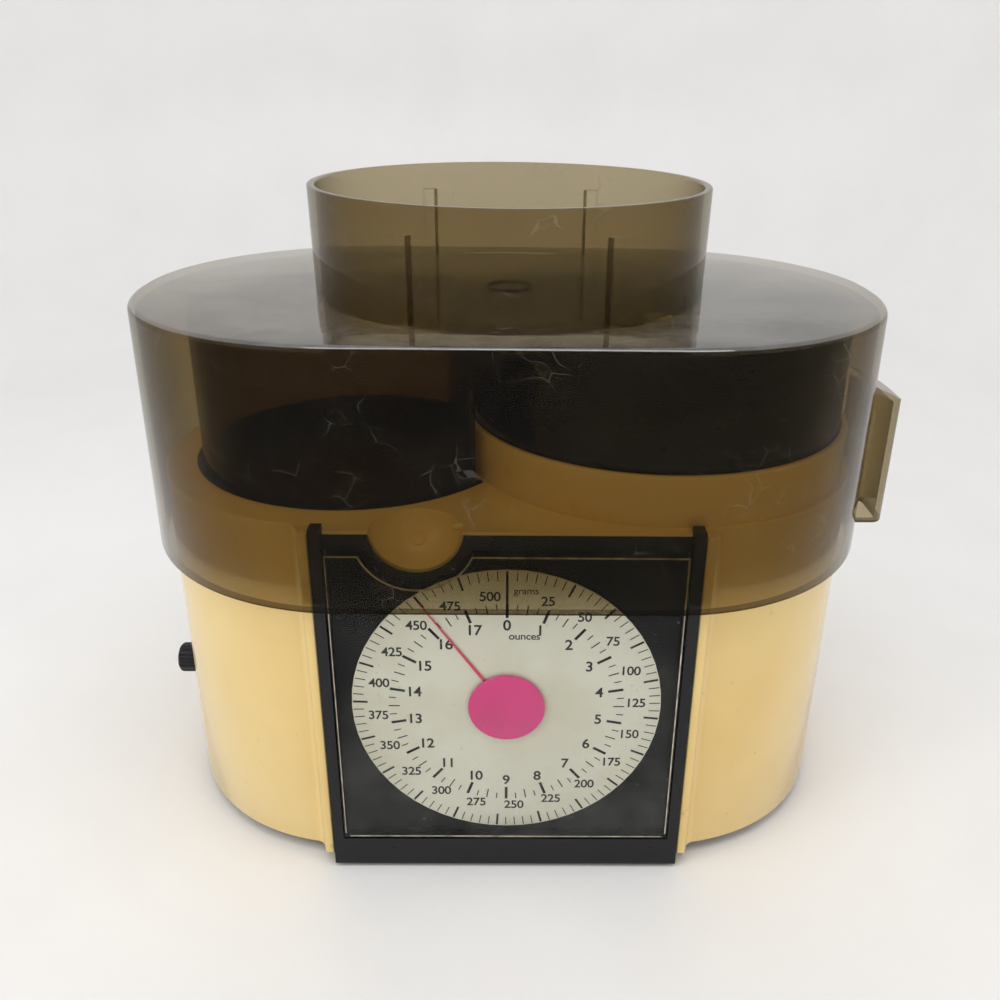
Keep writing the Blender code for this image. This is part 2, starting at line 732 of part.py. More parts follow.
def platform_stem():
    profile = [
        (STEM_R - 0.0005, STEM_LOW),
        (STEM_R, STEM_LOW + 0.0005),
        (STEM_R, PLATFORM_Z - 0.0016),
        (0.0120, PLATFORM_Z - 0.0016),
        (0.0120, PLATFORM_Z - GAP),
    ]
    return surface(turned("platform_stem", WELL_X, 0.0, profile, 24), STEEL, 0.3, 1.0)


def platform_plate():
    inset = GAP + RING_WALL + GAP
    edge = 0.0006
    rings = [
        level(nest_plan(inset + edge), PLATFORM_Z),
        level(nest_plan(inset), PLATFORM_Z + edge),
        level(nest_plan(inset), PLATFORM_Z + PLATE_THICK),
    ]
    return surface(loft("platform_plate", rings), CREAM, 0.4)


def platform_ring():
    """The upstanding rim that keeps the bowl central on the platform."""
    low = PLATFORM_Z + 0.0004
    outer = level(nest_plan(GAP), low)
    outer_top = level(nest_plan(GAP), DECK_Z + 0.0004)
    inner_top = level(nest_plan(GAP + RING_WALL), DECK_Z + 0.0004)
    inner = level(nest_plan(GAP + RING_WALL), low)
    ring = loft("platform_ring", [outer, outer_top, inner_top, inner], looped=True)
    return surface(ring, BLACK, 0.45)


def weigh_bowl():
    base = PLATFORM_Z + PLATE_THICK + GAP
    inset = GAP + RING_WALL + BOWL_PLAY
    wall = BOWL_WALL
    edge = 0.0012
    lip = 0.0005
    rings = [
        level(nest_plan(inset + edge), base),
        level(nest_plan(inset + 0.3 * edge), base + 0.3 * edge),
        level(nest_plan(inset), base + edge),
        level(nest_plan(inset), BOWL_TOP - lip),
        level(nest_plan(inset + lip), BOWL_TOP),
        level(nest_plan(inset + wall - lip), BOWL_TOP),
        level(nest_plan(inset + wall), BOWL_TOP - lip),
        level(nest_plan(inset + wall), base + wall + edge),
        level(nest_plan(inset + wall + edge), base + wall),
    ]
    return surface(loft("weigh_bowl", rings), SMOKE, 0.12, alpha=0.6)


def scale_spring():
    """The coil between the seat and the arm; its pitch closes up as the platform sinks."""
    low = SEAT_Z + SEAT_THICK + GAP + SPRING_WIRE
    high = ARM_Z - GAP - SPRING_WIRE
    steps = 12 * SPRING_TURNS
    sides = 5
    rings = []
    for i in range(steps + 1):
        part = i / steps
        turn = 2 * math.pi * SPRING_TURNS * part
        z = low + (high - low) * part
        ring = []
        for j in range(sides):
            angle = 2 * math.pi * j / sides
            radius = SPRING_R + SPRING_WIRE * math.cos(angle)
            x = WELL_X + radius * math.cos(turn)
            y = radius * math.sin(turn)
            ring.append((x, y, z + SPRING_WIRE * math.sin(angle)))
        rings.append(ring)
    return surface(loft("scale_spring", rings, (WELL_X, 0.0, low)), STEEL, 0.3, 1.0)


def spring_seat():
    """The saddle that rides on the zero cam and carries the coil."""
    seat = post("spring_seat", WELL_X, 0.0, 0.0100, SEAT_Z, SEAT_Z + SEAT_THICK, 28)
    cheek_y = CAM_R + CAM_OFFSET + 0.0005
    for side, name in ((-1, "cheek_front"), (1, "cheek_rear")):
        low_y = min(side * cheek_y, side * (cheek_y + 0.0016))
        high_y = max(side * cheek_y, side * (cheek_y + 0.0016))
        low = (WELL_X - 0.0050, low_y, ZERO_Z - 0.0060)
        join(seat, box(name, low, (WELL_X + 0.0050, high_y, SEAT_Z + 0.0010)))
    return surface(seat, (0.75, 0.74, 0.70), 0.5)


ZERO_AXIS = (WELL_X, 0.0, ZERO_Z)


def zero_shaft():
    plan = circle(0.0, ZERO_Z, ZERO_SHAFT_R, 24)
    rings = [sideways(plan, -KNOB_REACH + 0.0040), sideways(plan, WELL_X + 0.0140)]
    shaft = loft("zero_shaft", rings, ZERO_AXIS)
    cam = circle(0.0, ZERO_Z + CAM_OFFSET, CAM_R, 32)
    join(shaft, loft("cam", [sideways(cam, WELL_X - 0.0060), sideways(cam, WELL_X + 0.0060)]))
    return surface(shaft, STEEL, 0.35, 1.0)


def knob_outline(radius, depth):
    points = []
    steps = KNOB_FLUTES * 4
    for i in range(steps):
        angle = 2 * math.pi * i / steps
        flute = 0.5 - 0.5 * math.cos(KNOB_FLUTES * angle)
        reach = radius - depth * flute**2
        points.append((reach * math.cos(angle), ZERO_Z + reach * math.sin(angle)))
    return points


def zero_knob():
    inner = -BODY_HALF_X - 0.0004
    outer = -KNOB_REACH
    bore = circle(0.0, ZERO_Z, ZERO_SHAFT_R + PIVOT_GAP, 40)
    bore_end = outer + 0.0034
    rings = [
        sideways(bore, bore_end),
        sideways(bore, inner),
        sideways(knob_outline(KNOB_R - 0.0002, 0.0006), inner),
        sideways(knob_outline(KNOB_R, 0.0008), inner - 0.0004),
        sideways(knob_outline(KNOB_R - 0.0004, 0.0008), outer + 0.0030),
        sideways(knob_outline(KNOB_R - 0.0009, 0.0006), outer + 0.0010),
        sideways(knob_outline(KNOB_R - 0.0022, 0.0002), outer),
    ]
    return surface(loft("zero_knob", rings, ZERO_AXIS), BLACK, 0.4)


# ---------------------------------------------------------------- drive


def gear_places():
    """Spindle on the tower's axis; motor shaft one centre distance to its right."""
    distance = GEAR_MODULE * (WHEEL_TEETH + DRIVE_TEETH) / 2
    return (TOWER_X, 0.0), (TOWER_X + distance, 0.0)


def drive_wheel():
    (x, y), _ = gear_places()
    radius = GEAR_MODULE * WHEEL_TEETH / 2
    tip = radius + 0.75 * GEAR_MODULE
    root = radius - 1.1 * GEAR_MODULE
    outline = toothed(x, y, WHEEL_TEETH, tip, root, 0.0, 0.24)
    wheel = loft("drive_wheel", [level(outline, GEAR_LOW), level(outline, GEAR_TOP)], (x, y, GEAR_LOW))
    bore = SPINDLE_R + PIVOT_GAP
    cut(wheel, post("wheel_bore", x, y, bore, GEAR_LOW - 0.001, GEAR_TOP + 0.001, 32))
    return surface(wheel, (0.82, 0.80, 0.74), 0.5)


def motor_pinion():
    _, (x, y) = gear_places()
    radius = GEAR_MODULE * DRIVE_TEETH / 2
    tip = radius + 0.75 * GEAR_MODULE
    root = radius - 1.1 * GEAR_MODULE
    turn = 180.0 + 180.0 / DRIVE_TEETH
    outline = toothed(x, y, DRIVE_TEETH, tip, root, turn, 0.24)
    low = GEAR_LOW - 0.0004
    high = GEAR_TOP + 0.0004
    pinion = loft("motor_pinion", [level(outline, low), level(outline, high)], (x, y, low))
    cut(pinion, post("drive_bore", x, y, 0.0025 + PIVOT_GAP, low - 0.001, high + 0.001, 24))
    return surface(pinion, (0.70, 0.55, 0.28), 0.35, 1.0)


def motor_shaft():
    _, (x, y) = gear_places()
    low = MOTOR_TOP - 0.0100
    shaft = post("motor_shaft", x, y, 0.0025, low, GEAR_TOP + 0.0025, 24, (x, y, low))
    return surface(shaft, STEEL, 0.25, 1.0)


def motor_can():
    _, (x, y) = gear_places()
    profile = [
        (MOTOR_R - 0.0015, MOTOR_LOW),
        (MOTOR_R, MOTOR_LOW + 0.0015),
        (MOTOR_R, MOTOR_TOP - 0.0015),
        (MOTOR_R - 0.0015, MOTOR_TOP),
    ]
    can = turned("motor_can", x, y, profile, 36)
    bore = post("motor_bore", x, y, 0.0025 + PIVOT_GAP, MOTOR_TOP - 0.0104, MOTOR_TOP + 0.001, 24)
    cut(can, bore)
    return surface(can, (0.55, 0.56, 0.58), 0.35, 1.0)


def motor_bracket():
    (spindle_x, _), (motor_x, _) = gear_places()
    legs_x = (spindle_x - 0.0100, motor_x + 0.0190)
    top = BRACKET_Z + BRACKET_THICK
    half = BRACKET_LEG_Y + LEG / 2
    low = (legs_x[0] - LEG / 2, -half, BRACKET_Z)
    bracket = box("motor_bracket", low, (legs_x[1] + LEG / 2, half, top))
    foot = BODY_BOTTOM + GAP + BASE_THICK + GAP
    for i, x in enumerate(legs_x):
        for j, side in enumerate((-1, 1)):
            y = side * BRACKET_LEG_Y
            low = (x - LEG / 2 + 0.0001, y - LEG / 2 + 0.0001, foot)
            high = (x + LEG / 2 - 0.0001, y + LEG / 2 - 0.0001, BRACKET_Z + 0.0010)
            join(bracket, box(f"leg_{i}_{j}", low, high))
    cut(bracket, post("shaft_hole", motor_x, 0.0, 0.0060, BRACKET_Z - 0.001, top + 0.001, 24))
    bore = SPINDLE_R + PIVOT_GAP
    cut(bracket, post("spindle_hole", spindle_x, 0.0, bore, BRACKET_Z - 0.001, top + 0.001, 24))
    return surface(bracket, (0.60, 0.61, 0.62), 0.4, 1.0)


def drive_spindle():
    (x, y), _ = gear_places()
    low = BRACKET_Z + GAP
    profile = [
        (SPINDLE_R - 0.0005, low),
        (SPINDLE_R, low + 0.0005),
        (SPINDLE_R, SPINDLE_TOP - 0.0010),
        (SPINDLE_R - 0.0010, SPINDLE_TOP),
    ]
    return surface(turned("drive_spindle", x, y, profile, 32, (x, y, low)), STEEL, 0.25, 1.0)


def disc_hub():
    """The plastic column that drops over the spindle and carries the slicing disc."""
    (x, y), _ = gear_places()
    bore = SPINDLE_R + PIVOT_GAP
    low = NECK_TOP + 0.0040
    profile = [
        (bore, SPINDLE_TOP + GAP),
        (bore, low),
        (0.0088, low),
        (0.0088, low + 0.0060),
        (0.0130, low + 0.0100),
        (0.0130, DISC_Z - GAP),
        (0.0050, DISC_Z - GAP),
        (0.0050, DISC_Z + DISC_THICK + 0.0020),
    ]
    return surface(turned("disc_hub", x, y, profile, 24, (x, y, low)), (0.80, 0.78, 0.72), 0.5)


def slot_plan(radius_in, radius_out, width):
    """The slanted gap in front of the blade, drawn about the spindle."""
    (x, y), _ = gear_places()
    return [
        (x + radius_in, y - width),
        (x + radius_out, y - 0.6 * width),
        (x + radius_out, y + 0.4 * width),
        (x + radius_in, y),
    ]


def slicing_disc():
    (x, y), _ = gear_places()
    radius = TOWER_R - WALL - GAP - DRUM_WALL - DISC_PLAY
    profile = [
        (0.0050 + GAP, DISC_Z),
        (radius, DISC_Z),
        (radius, DISC_Z + DISC_THICK),
        (0.0050 + GAP, DISC_Z + DISC_THICK),
    ]
    disc = turned("slicing_disc", x, y, profile, 44, (x, y, DISC_Z), looped=True)
    plan = slot_plan(0.016, radius - 0.006, 0.010)
    rings = [level(plan, DISC_Z - 0.001), level(plan, DISC_Z + DISC_THICK + 0.001)]
    cut(disc, loft("disc_slot", rings))
    return surface(disc, (0.02, 0.02, 0.022), 0.35)


def slicing_blade():
    (x, y), _ = gear_places()
    radius = TOWER_R - WALL - GAP - DRUM_WALL - DISC_PLAY
    low = DISC_Z + DISC_THICK + GAP
    plan = [
        (x + 0.014, y - 0.004),
        (x + radius - 0.004, y - 0.001),
        (x + radius - 0.004, y + 0.008),
        (x + 0.014, y + 0.004),
    ]
    rings = [level(plan, low), level(plan, low + 0.0008)]
    return surface(loft("slicing_blade", rings, (x, y, low)), STEEL, 0.2, 1.0)


def drum():
    (x, y), _ = gear_places()
    outer = TOWER_R - WALL - GAP
    inner = outer - DRUM_WALL
    floor = DECK_Z + GAP
    neck = SPINDLE_R + PIVOT_GAP + WALL + 2 * GAP
    tube_top = NECK_TOP + 0.0030
    lip = 0.0006
    profile = [
        (neck, floor),
        (outer - 0.0008, floor),
        (outer, floor + 0.0008),
        (outer, DRUM_TOP - lip),
        (outer - lip, DRUM_TOP),
        (inner + lip, DRUM_TOP),
        (inner, DRUM_TOP - lip),
        (inner, floor + DRUM_WALL),
        (neck + 0.0020, floor + DRUM_WALL),
        (neck + 0.0020, tube_top),
        (neck, tube_top),
    ]
    body = turned("drum", x, y, profile, 48, (x, y, floor), looped=True)
    return surface(body, BLACK, 0.25)


def interlock_button():
    """The plunger in the tower's floor that the drum presses to let the motor run."""
    low = DECK_Z - WALL - 0.0040
    profile = [
        (BUTTON_R + 0.0020, low),
        (BUTTON_R + 0.0020, low + 0.0012),
        (BUTTON_R, low + 0.0012),
        (BUTTON_R, DECK_Z - 0.0003),
        (BUTTON_R - 0.0004, DECK_Z),
    ]
    button = turned("interlock_button", TOWER_X, BUTTON_Y, profile, 20, (TOWER_X, BUTTON_Y, low))
    return surface(button, (0.55, 0.05, 0.04), 0.4)


def interlock_switch():
    top = DECK_Z - WALL - 0.0040 - 0.0025
    low = (TOWER_X - 0.0100, BUTTON_Y - 0.0040, top - 0.0110)
    switch = box("interlock_switch", low, (TOWER_X + 0.0100, BUTTON_Y + 0.0040, top))
    for i in (-1, 0, 1):
        x = TOWER_X + 0.0070 * i
        low = (x - 0.0003, BUTTON_Y - 0.0020, top - 0.0160)
        join(switch, box(f"tag_{i + 1}", low, (x + 0.0003, BUTTON_Y + 0.0020, top - 0.0100)))
    return surface(switch, (0.03, 0.03, 0.03), 0.5)


# ---------------------------------------------------------------- cover


def cover_handle():
    """A hollow pull on the right end: open below, with a roof that slopes outwards."""
    root = COVER_HALF_X - 0.0017

    def ring(inset, low):
        reach = HANDLE_REACH - inset
        half = HANDLE_HALF_Y - inset
        corner = 0.0048 - inset
        start = root - 2 * inset
        plan = [(start, -half)]
        plan += arc(reach - corner, -half + corner, corner, -90.0, 0.0, 6)
        plan += arc(reach - corner, half - corner, corner, 0.0, 90.0, 6)
        plan += [(start, half)]
        top = HANDLE_HIGH - 1.2 * inset
        if low:
            return level(plan, HANDLE_LOW - 2 * inset)
        return [(x, y, top - HANDLE_SLOPE * (x - COVER_HALF_X)) for x, y in plan]

    pull = loft("cover_pull", [ring(0.0, True), ring(0.0, False)])
    cut(pull, loft("pull_hollow", [ring(HANDLE_WALL, True), ring(HANDLE_WALL, False)]))
    return pull


def collar():
    top = COLLAR_TOP
    low = COVER_TOP - 0.0010
    foot = COLLAR_FOOT_R
    lip = 0.0005
    wall = COLLAR_WALL
    profile = [
        (foot, low),
        (COLLAR_R, top - lip),
        (COLLAR_R - lip, top),
        (COLLAR_R - wall + lip, top),
        (COLLAR_R - wall, top - lip),
        (foot - wall, low),
    ]
    return turned("collar_ring", 0.0, 0.0, profile, 60, looped=True)


def collar_rib(index, degrees):
    angle = math.radians(degrees)
    along = (math.cos(angle), math.sin(angle))
    across = (-along[1], along[0])
    near = COLLAR_FOOT_R - COLLAR_WALL - RIB_DEPTH
    far = COLLAR_FOOT_R - 0.5 * COLLAR_WALL
    half = RIB_WIDTH / 2
    plan = []
    for reach, side in ((near, -half), (far, -half), (far, half), (near, half)):
        plan.append((reach * along[0] + side * across[0], reach * along[1] + side * across[1]))
    rings = [level(plan, COVER_TOP - 0.0008), level(plan, COLLAR_TOP - RIB_DROP)]
    return loft(f"collar_rib_{index}", rings)


def cover():
    """The smoked lid: one moulding with the collar, its ribs and the pull."""

    def outline(inset):
        return oblong(COVER_HALF_X - inset, COVER_HALF_Y - inset, COVER_CORNER - inset, 16)

    wall = COVER_WALL
    edge = COVER_EDGE
    draft = COVER_DRAFT
    rings = [
        level(outline(draft + wall + 0.0012), COVER_TOP - wall),
        level(outline(draft + wall), COVER_TOP - wall - 0.0012),
        level(outline(wall), COVER_BOTTOM + 0.0002),
        level(outline(wall - 0.0003), COVER_BOTTOM),
        level(outline(0.0003), COVER_BOTTOM),
        level(outline(0.0), COVER_BOTTOM + 0.0003),
        level(outline(draft), COVER_TOP - edge),
        level(outline(draft + 0.15 * edge), COVER_TOP - 0.5 * edge),
        level(outline(draft + 0.5 * edge), COVER_TOP - 0.15 * edge),
        level(outline(draft + edge), COVER_TOP),
    ]
    lid = loft("cover", rings)
    join(lid, collar())
    for i, degrees in enumerate(RIB_ANGLES):
        join(lid, collar_rib(i, degrees))
    join(lid, cover_handle())
    return surface(lid, SMOKE, 0.08, alpha=0.45)


def build():
    clear_scene()
    base_housing()
    base_plate()
    feet()
    base_screws()
    cord_gland()
    front_bezel()
    dial_window()
    dial_panel()
    dial_face()
    needle()
    needle_hub()
    needle_shaft()
    needle_pinion()
    rack()
    carriage_arm()
    platform_stem()
    platform_plate()
    platform_ring()
    weigh_bowl()
    scale_spring()
    spring_seat()
    zero_shaft()
    zero_knob()
    drive_wheel()
    motor_pinion()
    motor_shaft()
    motor_can()
    motor_bracket()
    drive_spindle()
    disc_hub()
    slicing_disc()
    slicing_blade()
    drum()
    interlock_button()
    interlock_switch()
    cover()


build()
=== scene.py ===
"""A kitchen scale and food processor base under its smoked cover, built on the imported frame."""

import math

import bmesh
import bpy
from mathutils import Matrix, Vector


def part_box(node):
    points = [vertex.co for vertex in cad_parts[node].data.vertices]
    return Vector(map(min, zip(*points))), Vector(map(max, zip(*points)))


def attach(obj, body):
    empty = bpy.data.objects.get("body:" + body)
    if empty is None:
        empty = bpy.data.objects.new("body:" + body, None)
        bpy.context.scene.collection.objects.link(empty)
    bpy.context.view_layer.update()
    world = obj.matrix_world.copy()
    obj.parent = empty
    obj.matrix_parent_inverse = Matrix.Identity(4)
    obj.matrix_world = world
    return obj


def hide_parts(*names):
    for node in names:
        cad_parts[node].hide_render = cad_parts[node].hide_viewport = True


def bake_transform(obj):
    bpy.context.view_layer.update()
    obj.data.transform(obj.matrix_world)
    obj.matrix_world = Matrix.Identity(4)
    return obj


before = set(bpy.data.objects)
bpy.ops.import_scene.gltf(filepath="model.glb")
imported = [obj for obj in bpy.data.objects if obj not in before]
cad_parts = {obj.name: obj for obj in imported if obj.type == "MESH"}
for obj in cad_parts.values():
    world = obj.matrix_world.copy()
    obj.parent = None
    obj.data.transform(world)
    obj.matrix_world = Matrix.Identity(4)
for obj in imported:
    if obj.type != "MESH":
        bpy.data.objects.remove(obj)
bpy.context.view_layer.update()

# ------------------------------------------------------------------ camera
# The camera stands in front of the dial and a little to the left of it,
# at the height of the eyes of a person who sits at the table.

camera_pitch = math.radians(24.345)
camera_yaw = math.radians(0.7526)
camera_roll = math.radians(0.71)
ahead = Vector(
    (
        math.sin(camera_yaw) * math.cos(camera_pitch),
        math.cos(camera_yaw) * math.cos(camera_pitch),
        -math.sin(camera_pitch),
    )
)
level_right = Vector((math.cos(camera_yaw), -math.sin(camera_yaw), 0.0))
level_up = level_right.cross(ahead)
camera_right = math.cos(camera_roll) * level_right + math.sin(camera_roll) * level_up
camera_up = math.cos(camera_roll) * level_up - math.sin(camera_roll) * level_right
camera_place = Vector((-0.002586, -0.33653, 0.261388))
camera_data = bpy.data.cameras.new("camera")
camera_data.lens = 35.12
camera_data.sensor_width = 36.0
camera_data.shift_x = -0.0222
camera_data.shift_y = -0.0002
camera_data.clip_start = 0.01
camera_data.clip_end = 20.0
camera = bpy.data.objects.new("camera", camera_data)
bpy.context.scene.collection.objects.link(camera)
camera.matrix_world = Matrix(
    (
        (camera_right.x, camera_up.x, -ahead.x, camera_place.x),
        (camera_right.y, camera_up.y, -ahead.y, camera_place.y),
        (camera_right.z, camera_up.z, -ahead.z, camera_place.z),
        (0.0, 0.0, 0.0, 1.0),
    )
)
bpy.context.scene.camera = camera
bpy.context.scene.view_settings.view_transform = "Standard"
bpy.context.scene.cycles.transparent_max_bounces = 24

# ------------------------------------------------------------------ table and studio light
# A white laminate table top under large soft lamps, with a pale room
# all round that the glossy plastic reflects.


def paint(name, colour, roughness, **sockets):
    """A plain plastic, metal or card finish; the sockets are the shader's own numbers."""
    material = bpy.data.materials.new(name)
    material.use_nodes = True
    shader = material.node_tree.nodes["Principled BSDF"]
    shader.inputs["Base Color"].default_value = (*colour, 1.0)
    shader.inputs["Roughness"].default_value = roughness
    for socket, value in sockets.items():
        shader.inputs[socket.replace("_", " ")].default_value = value
    return material


def add(material, kind, **values):
    """One more node; a value goes to the node's setting or to its input of that name."""
    node = material.node_tree.nodes.new(kind)
    for key, value in values.items():
        name = key.replace("_", " ")
        if hasattr(node, key):
            setattr(node, key, value)
        else:
            node.inputs[name].default_value = value
    return node


def wire(material, *pairs):
    for source, target in pairs:
        material.node_tree.links.new(source, target)


def object_place(material, scale=(1.0, 1.0, 1.0), at=(0.0, 0.0, 0.0)):
    """The piece's own coordinates in metres, drawn out or moved for a pattern."""
    place = add(material, "ShaderNodeTexCoord")
    turn = add(material, "ShaderNodeMapping")
    turn.inputs["Scale"].default_value = scale
    turn.inputs["Location"].default_value = at
    wire(material, (place.outputs["Object"], turn.inputs["Vector"]))
    return turn.outputs["Vector"]


def speckle(material, vector, scale, detail=4.0, low=0.4, high=0.6, rough=0.6):
    """Soft noise, stretched so that it runs from 0 to 1 between the two levels."""
    noise = add(material, "ShaderNodeTexNoise")
    noise.inputs["Scale"].default_value = scale
    noise.inputs["Detail"].default_value = detail
    noise.inputs["Roughness"].default_value = rough
    spread = add(material, "ShaderNodeMapRange")
    spread.inputs["From Min"].default_value = low
    spread.inputs["From Max"].default_value = high
    wire(material, (vector, noise.inputs["Vector"]), (noise.outputs["Fac"], spread.inputs["Value"]))
    return spread.outputs["Result"]


def between(material, factor, first, second):
    """A colour or a number that runs from the first to the second with the factor."""
    mix = material.node_tree.nodes.new("ShaderNodeMix")
    mix.data_type = "RGBA" if isinstance(first, tuple) or isinstance(second, tuple) else "FLOAT"
    slot = {"RGBA": (6, 7, 2), "FLOAT": (2, 3, 0)}[mix.data_type]
    for index, value in ((slot[0], first), (slot[1], second)):
        if isinstance(value, bpy.types.NodeSocket):
            wire(material, (value, mix.inputs[index]))
        elif isinstance(value, tuple):
            mix.inputs[index].default_value = (*value, 1.0)
        else:
            mix.inputs[index].default_value = value
    if isinstance(factor, bpy.types.NodeSocket):
        wire(material, (factor, mix.inputs[0]))
    else:
        mix.inputs[0].default_value = factor
    return mix.outputs[slot[2]]


def sums(material, operation, first, second=0.0):
    node = add(material, "ShaderNodeMath", operation=operation)
    for index, value in ((0, first), (1, second)):
        if isinstance(value, bpy.types.NodeSocket):
            wire(material, (value, node.inputs[index]))
        else:
            node.inputs[index].default_value = value
    return node.outputs[0]


def shader_of(material):
    return material.node_tree.nodes["Principled BSDF"]


def coloured(material, colour):
    wire(material, (colour, shader_of(material).inputs["Base Color"]))


def polished(material, roughness):
    wire(material, (roughness, shader_of(material).inputs["Roughness"]))


def relief(material, height, depth):
    """Raises or sinks the surface by up to the depth, in metres, as far as light can tell."""
    bump = add(material, "ShaderNodeBump")
    bump.inputs["Strength"].default_value = 1.0
    bump.inputs["Distance"].default_value = depth
    wire(
        material, (height, bump.inputs["Height"]),
        (bump.outputs["Normal"], shader_of(material).inputs["Normal"]),
    )


table_radius = 0.62
bend_radius = 0.26
bend_steps = 12
wall_height = 0.85

table_top = paint("table_laminate", (0.88, 0.87, 0.86), 0.38)
grain = speckle(table_top, object_place(table_top), 9.0, 6.0, 0.35, 0.65)
coloured(table_top, between(table_top, grain, (0.87, 0.86, 0.85), (0.90, 0.89, 0.88)))
# The table runs up into a pale round wall, so that no hard line shows.
bpy.ops.object.select_all(action="DESELECT")
bpy.ops.mesh.primitive_circle_add(
    vertices=128, radius=table_radius, fill_type="NGON", location=(0.0, 0.0, -0.0002),
)
table = bpy.context.object
table.name = "table"
bpy.ops.object.transform_apply(location=True, rotation=True, scale=True)
bpy.ops.object.mode_set(mode="EDIT")
bpy.ops.mesh.select_mode(type="EDGE")
bpy.ops.mesh.select_all(action="SELECT")
sweep_low = table_radius
for step in range(1, bend_steps + 1):
    bend = math.radians(90.0 * step / bend_steps)
    bend_before = math.radians(90.0 * (step - 1) / bend_steps)
    sweep = table_radius + bend_radius * math.sin(bend)
    rise = bend_radius * (1.0 - math.cos(bend))
    before = bend_radius * (1.0 - math.cos(bend_before))
    bpy.ops.mesh.select_all(action="DESELECT")
    sheet = bmesh.from_edit_mesh(table.data)
    for edge in sheet.edges:
        edge.select_set(edge.is_boundary)
    bmesh.update_edit_mesh(table.data)
    bpy.ops.mesh.extrude_edges_move(TRANSFORM_OT_translate={"value": (0.0, 0.0, rise - before)})
    bpy.ops.transform.resize(value=(sweep / sweep_low, sweep / sweep_low, 1.0), center_override=(0.0, 0.0, 0.0))
    sweep_low = sweep
bpy.ops.mesh.extrude_edges_move(TRANSFORM_OT_translate={"value": (0.0, 0.0, wall_height)})
bpy.ops.object.mode_set(mode="OBJECT")
bpy.ops.object.shade_smooth_by_angle(angle=math.radians(40.0))
table.data.materials.append(table_top)

room = bpy.data.worlds.new("pale_room")
bpy.context.scene.world = room
room.use_nodes = True
room_light = room.node_tree.nodes["Background"]
room_light.inputs["Color"].default_value = (0.95, 0.97, 1.0, 1.0)
room_light.inputs["Strength"].default_value = 0.84


def soft_lamp(name, place, target, size, power, colour=(1.0, 0.985, 0.96)):
    lamp_data = bpy.data.lights.new(name, "AREA")
    lamp_data.shape = "RECTANGLE"
    lamp_data.size, lamp_data.size_y = size
    lamp_data.energy = power
    lamp_data.color = colour
    lamp = bpy.data.objects.new(name, lamp_data)
    bpy.context.scene.collection.objects.link(lamp)
    lamp.location = place
    lamp.rotation_euler = (Vector(target) - Vector(place)).to_track_quat("-Z", "Y").to_euler()


soft_lamp("ceiling_lamp", (0.05, -0.30, 1.05), (0.0, 0.0, 0.05), (0.8, 0.5), 3.1)
soft_lamp("left_lamp", (-0.58, -0.42, 0.62), (0.0, 0.0, 0.08), (0.30, 0.45), 1.0, (0.97, 0.99, 1.0))

# ------------------------------------------------------------------ base housing
# One glossy moulding in cream yellow styrene, yellowed a little unevenly with
# age and scuffed low down, where it slides in and out of its cupboard.

housing_low, housing_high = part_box("base_housing")
middle_x = (housing_low.x + housing_high.x) / 2


def object_mode():
    if bpy.context.mode != "OBJECT":
        bpy.ops.object.mode_set(mode="OBJECT")


def fresh():
    object_mode()
    bpy.ops.object.select_all(action="DESELECT")


def hold(piece, *others):
    fresh()
    for each in (*others, piece):
        each.select_set(True)
    bpy.context.view_layer.objects.active = piece


def set_down(piece, name):
    """Names a finished shape and moves its place, turn and scale into the mesh."""
    hold(piece)
    bpy.ops.object.transform_apply(location=True, rotation=True, scale=True)
    piece.name = name
    piece.data.name = name
    return piece


def finish(piece, name, material, body):
    """Sets a piece down in its own finish, and fixes it to the body that it moves with."""
    set_down(piece, name)
    piece.data.materials.clear()
    piece.data.materials.append(material)
    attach(piece, body)


def dress(material, *names):
    """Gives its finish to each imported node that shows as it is."""
    for name in names:
        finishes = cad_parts[name].data.materials
        finishes.clear()
        finishes.append(material)


def pick(piece, kind, test):
    """Goes into edit mode with only the points, edges or faces that pass the test."""
    hold(piece)
    bpy.ops.object.mode_set(mode="EDIT")
    bpy.ops.mesh.select_mode(type=kind)
    bpy.ops.mesh.select_all(action="DESELECT")
    mesh = bmesh.from_edit_mesh(piece.data)
    if kind == "VERT":
        for point in mesh.verts:
            point.select_set(bool(test(point.co)))
    elif kind == "EDGE":
        for edge in mesh.edges:
            edge.select_set(bool(test(edge.verts[0].co, edge.verts[1].co)))
    else:
        for face in mesh.faces:
            face.select_set(bool(test(face.calc_center_median(), face.normal)))
    mesh.select_flush_mode()
    bmesh.update_edit_mesh(piece.data)


def level_rim(z):
    """Picks the edges that lie in the level plane at this height."""
    return lambda a, b: abs(a.z - z) < 1e-5 and abs(b.z - z) < 1e-5


def round_block(x, y, radius, low, high, steps=128):
    """A round bar stood on end, with no point on its own X or Y axis."""
    fresh()
    bpy.ops.mesh.primitive_cylinder_add(
        vertices=steps, radius=radius, depth=high - low, end_fill_type="NGON",
        location=(x, y, (low + high) / 2), rotation=(0.0, 0.0, math.pi / steps),
    )
    return set_down(bpy.context.object, "bar")


def long_block(x, half_x, half_y, corner, low, high, steps=144):
    """A block with round ends, drawn out from a round bar."""
    block = round_block(x, 0.0, corner, low, high, steps)
    for side in (-1.0, 1.0):
        pick(block, "VERT", lambda at: side * (at.x - x) > 0.0)
        bpy.ops.transform.translate(value=(side * (half_x - corner), 0.0, 0.0))
        pick(block, "VERT", lambda at: side * at.y > 0.0)
        bpy.ops.transform.translate(value=(0.0, side * (half_y - corner), 0.0))
    object_mode()
    return block


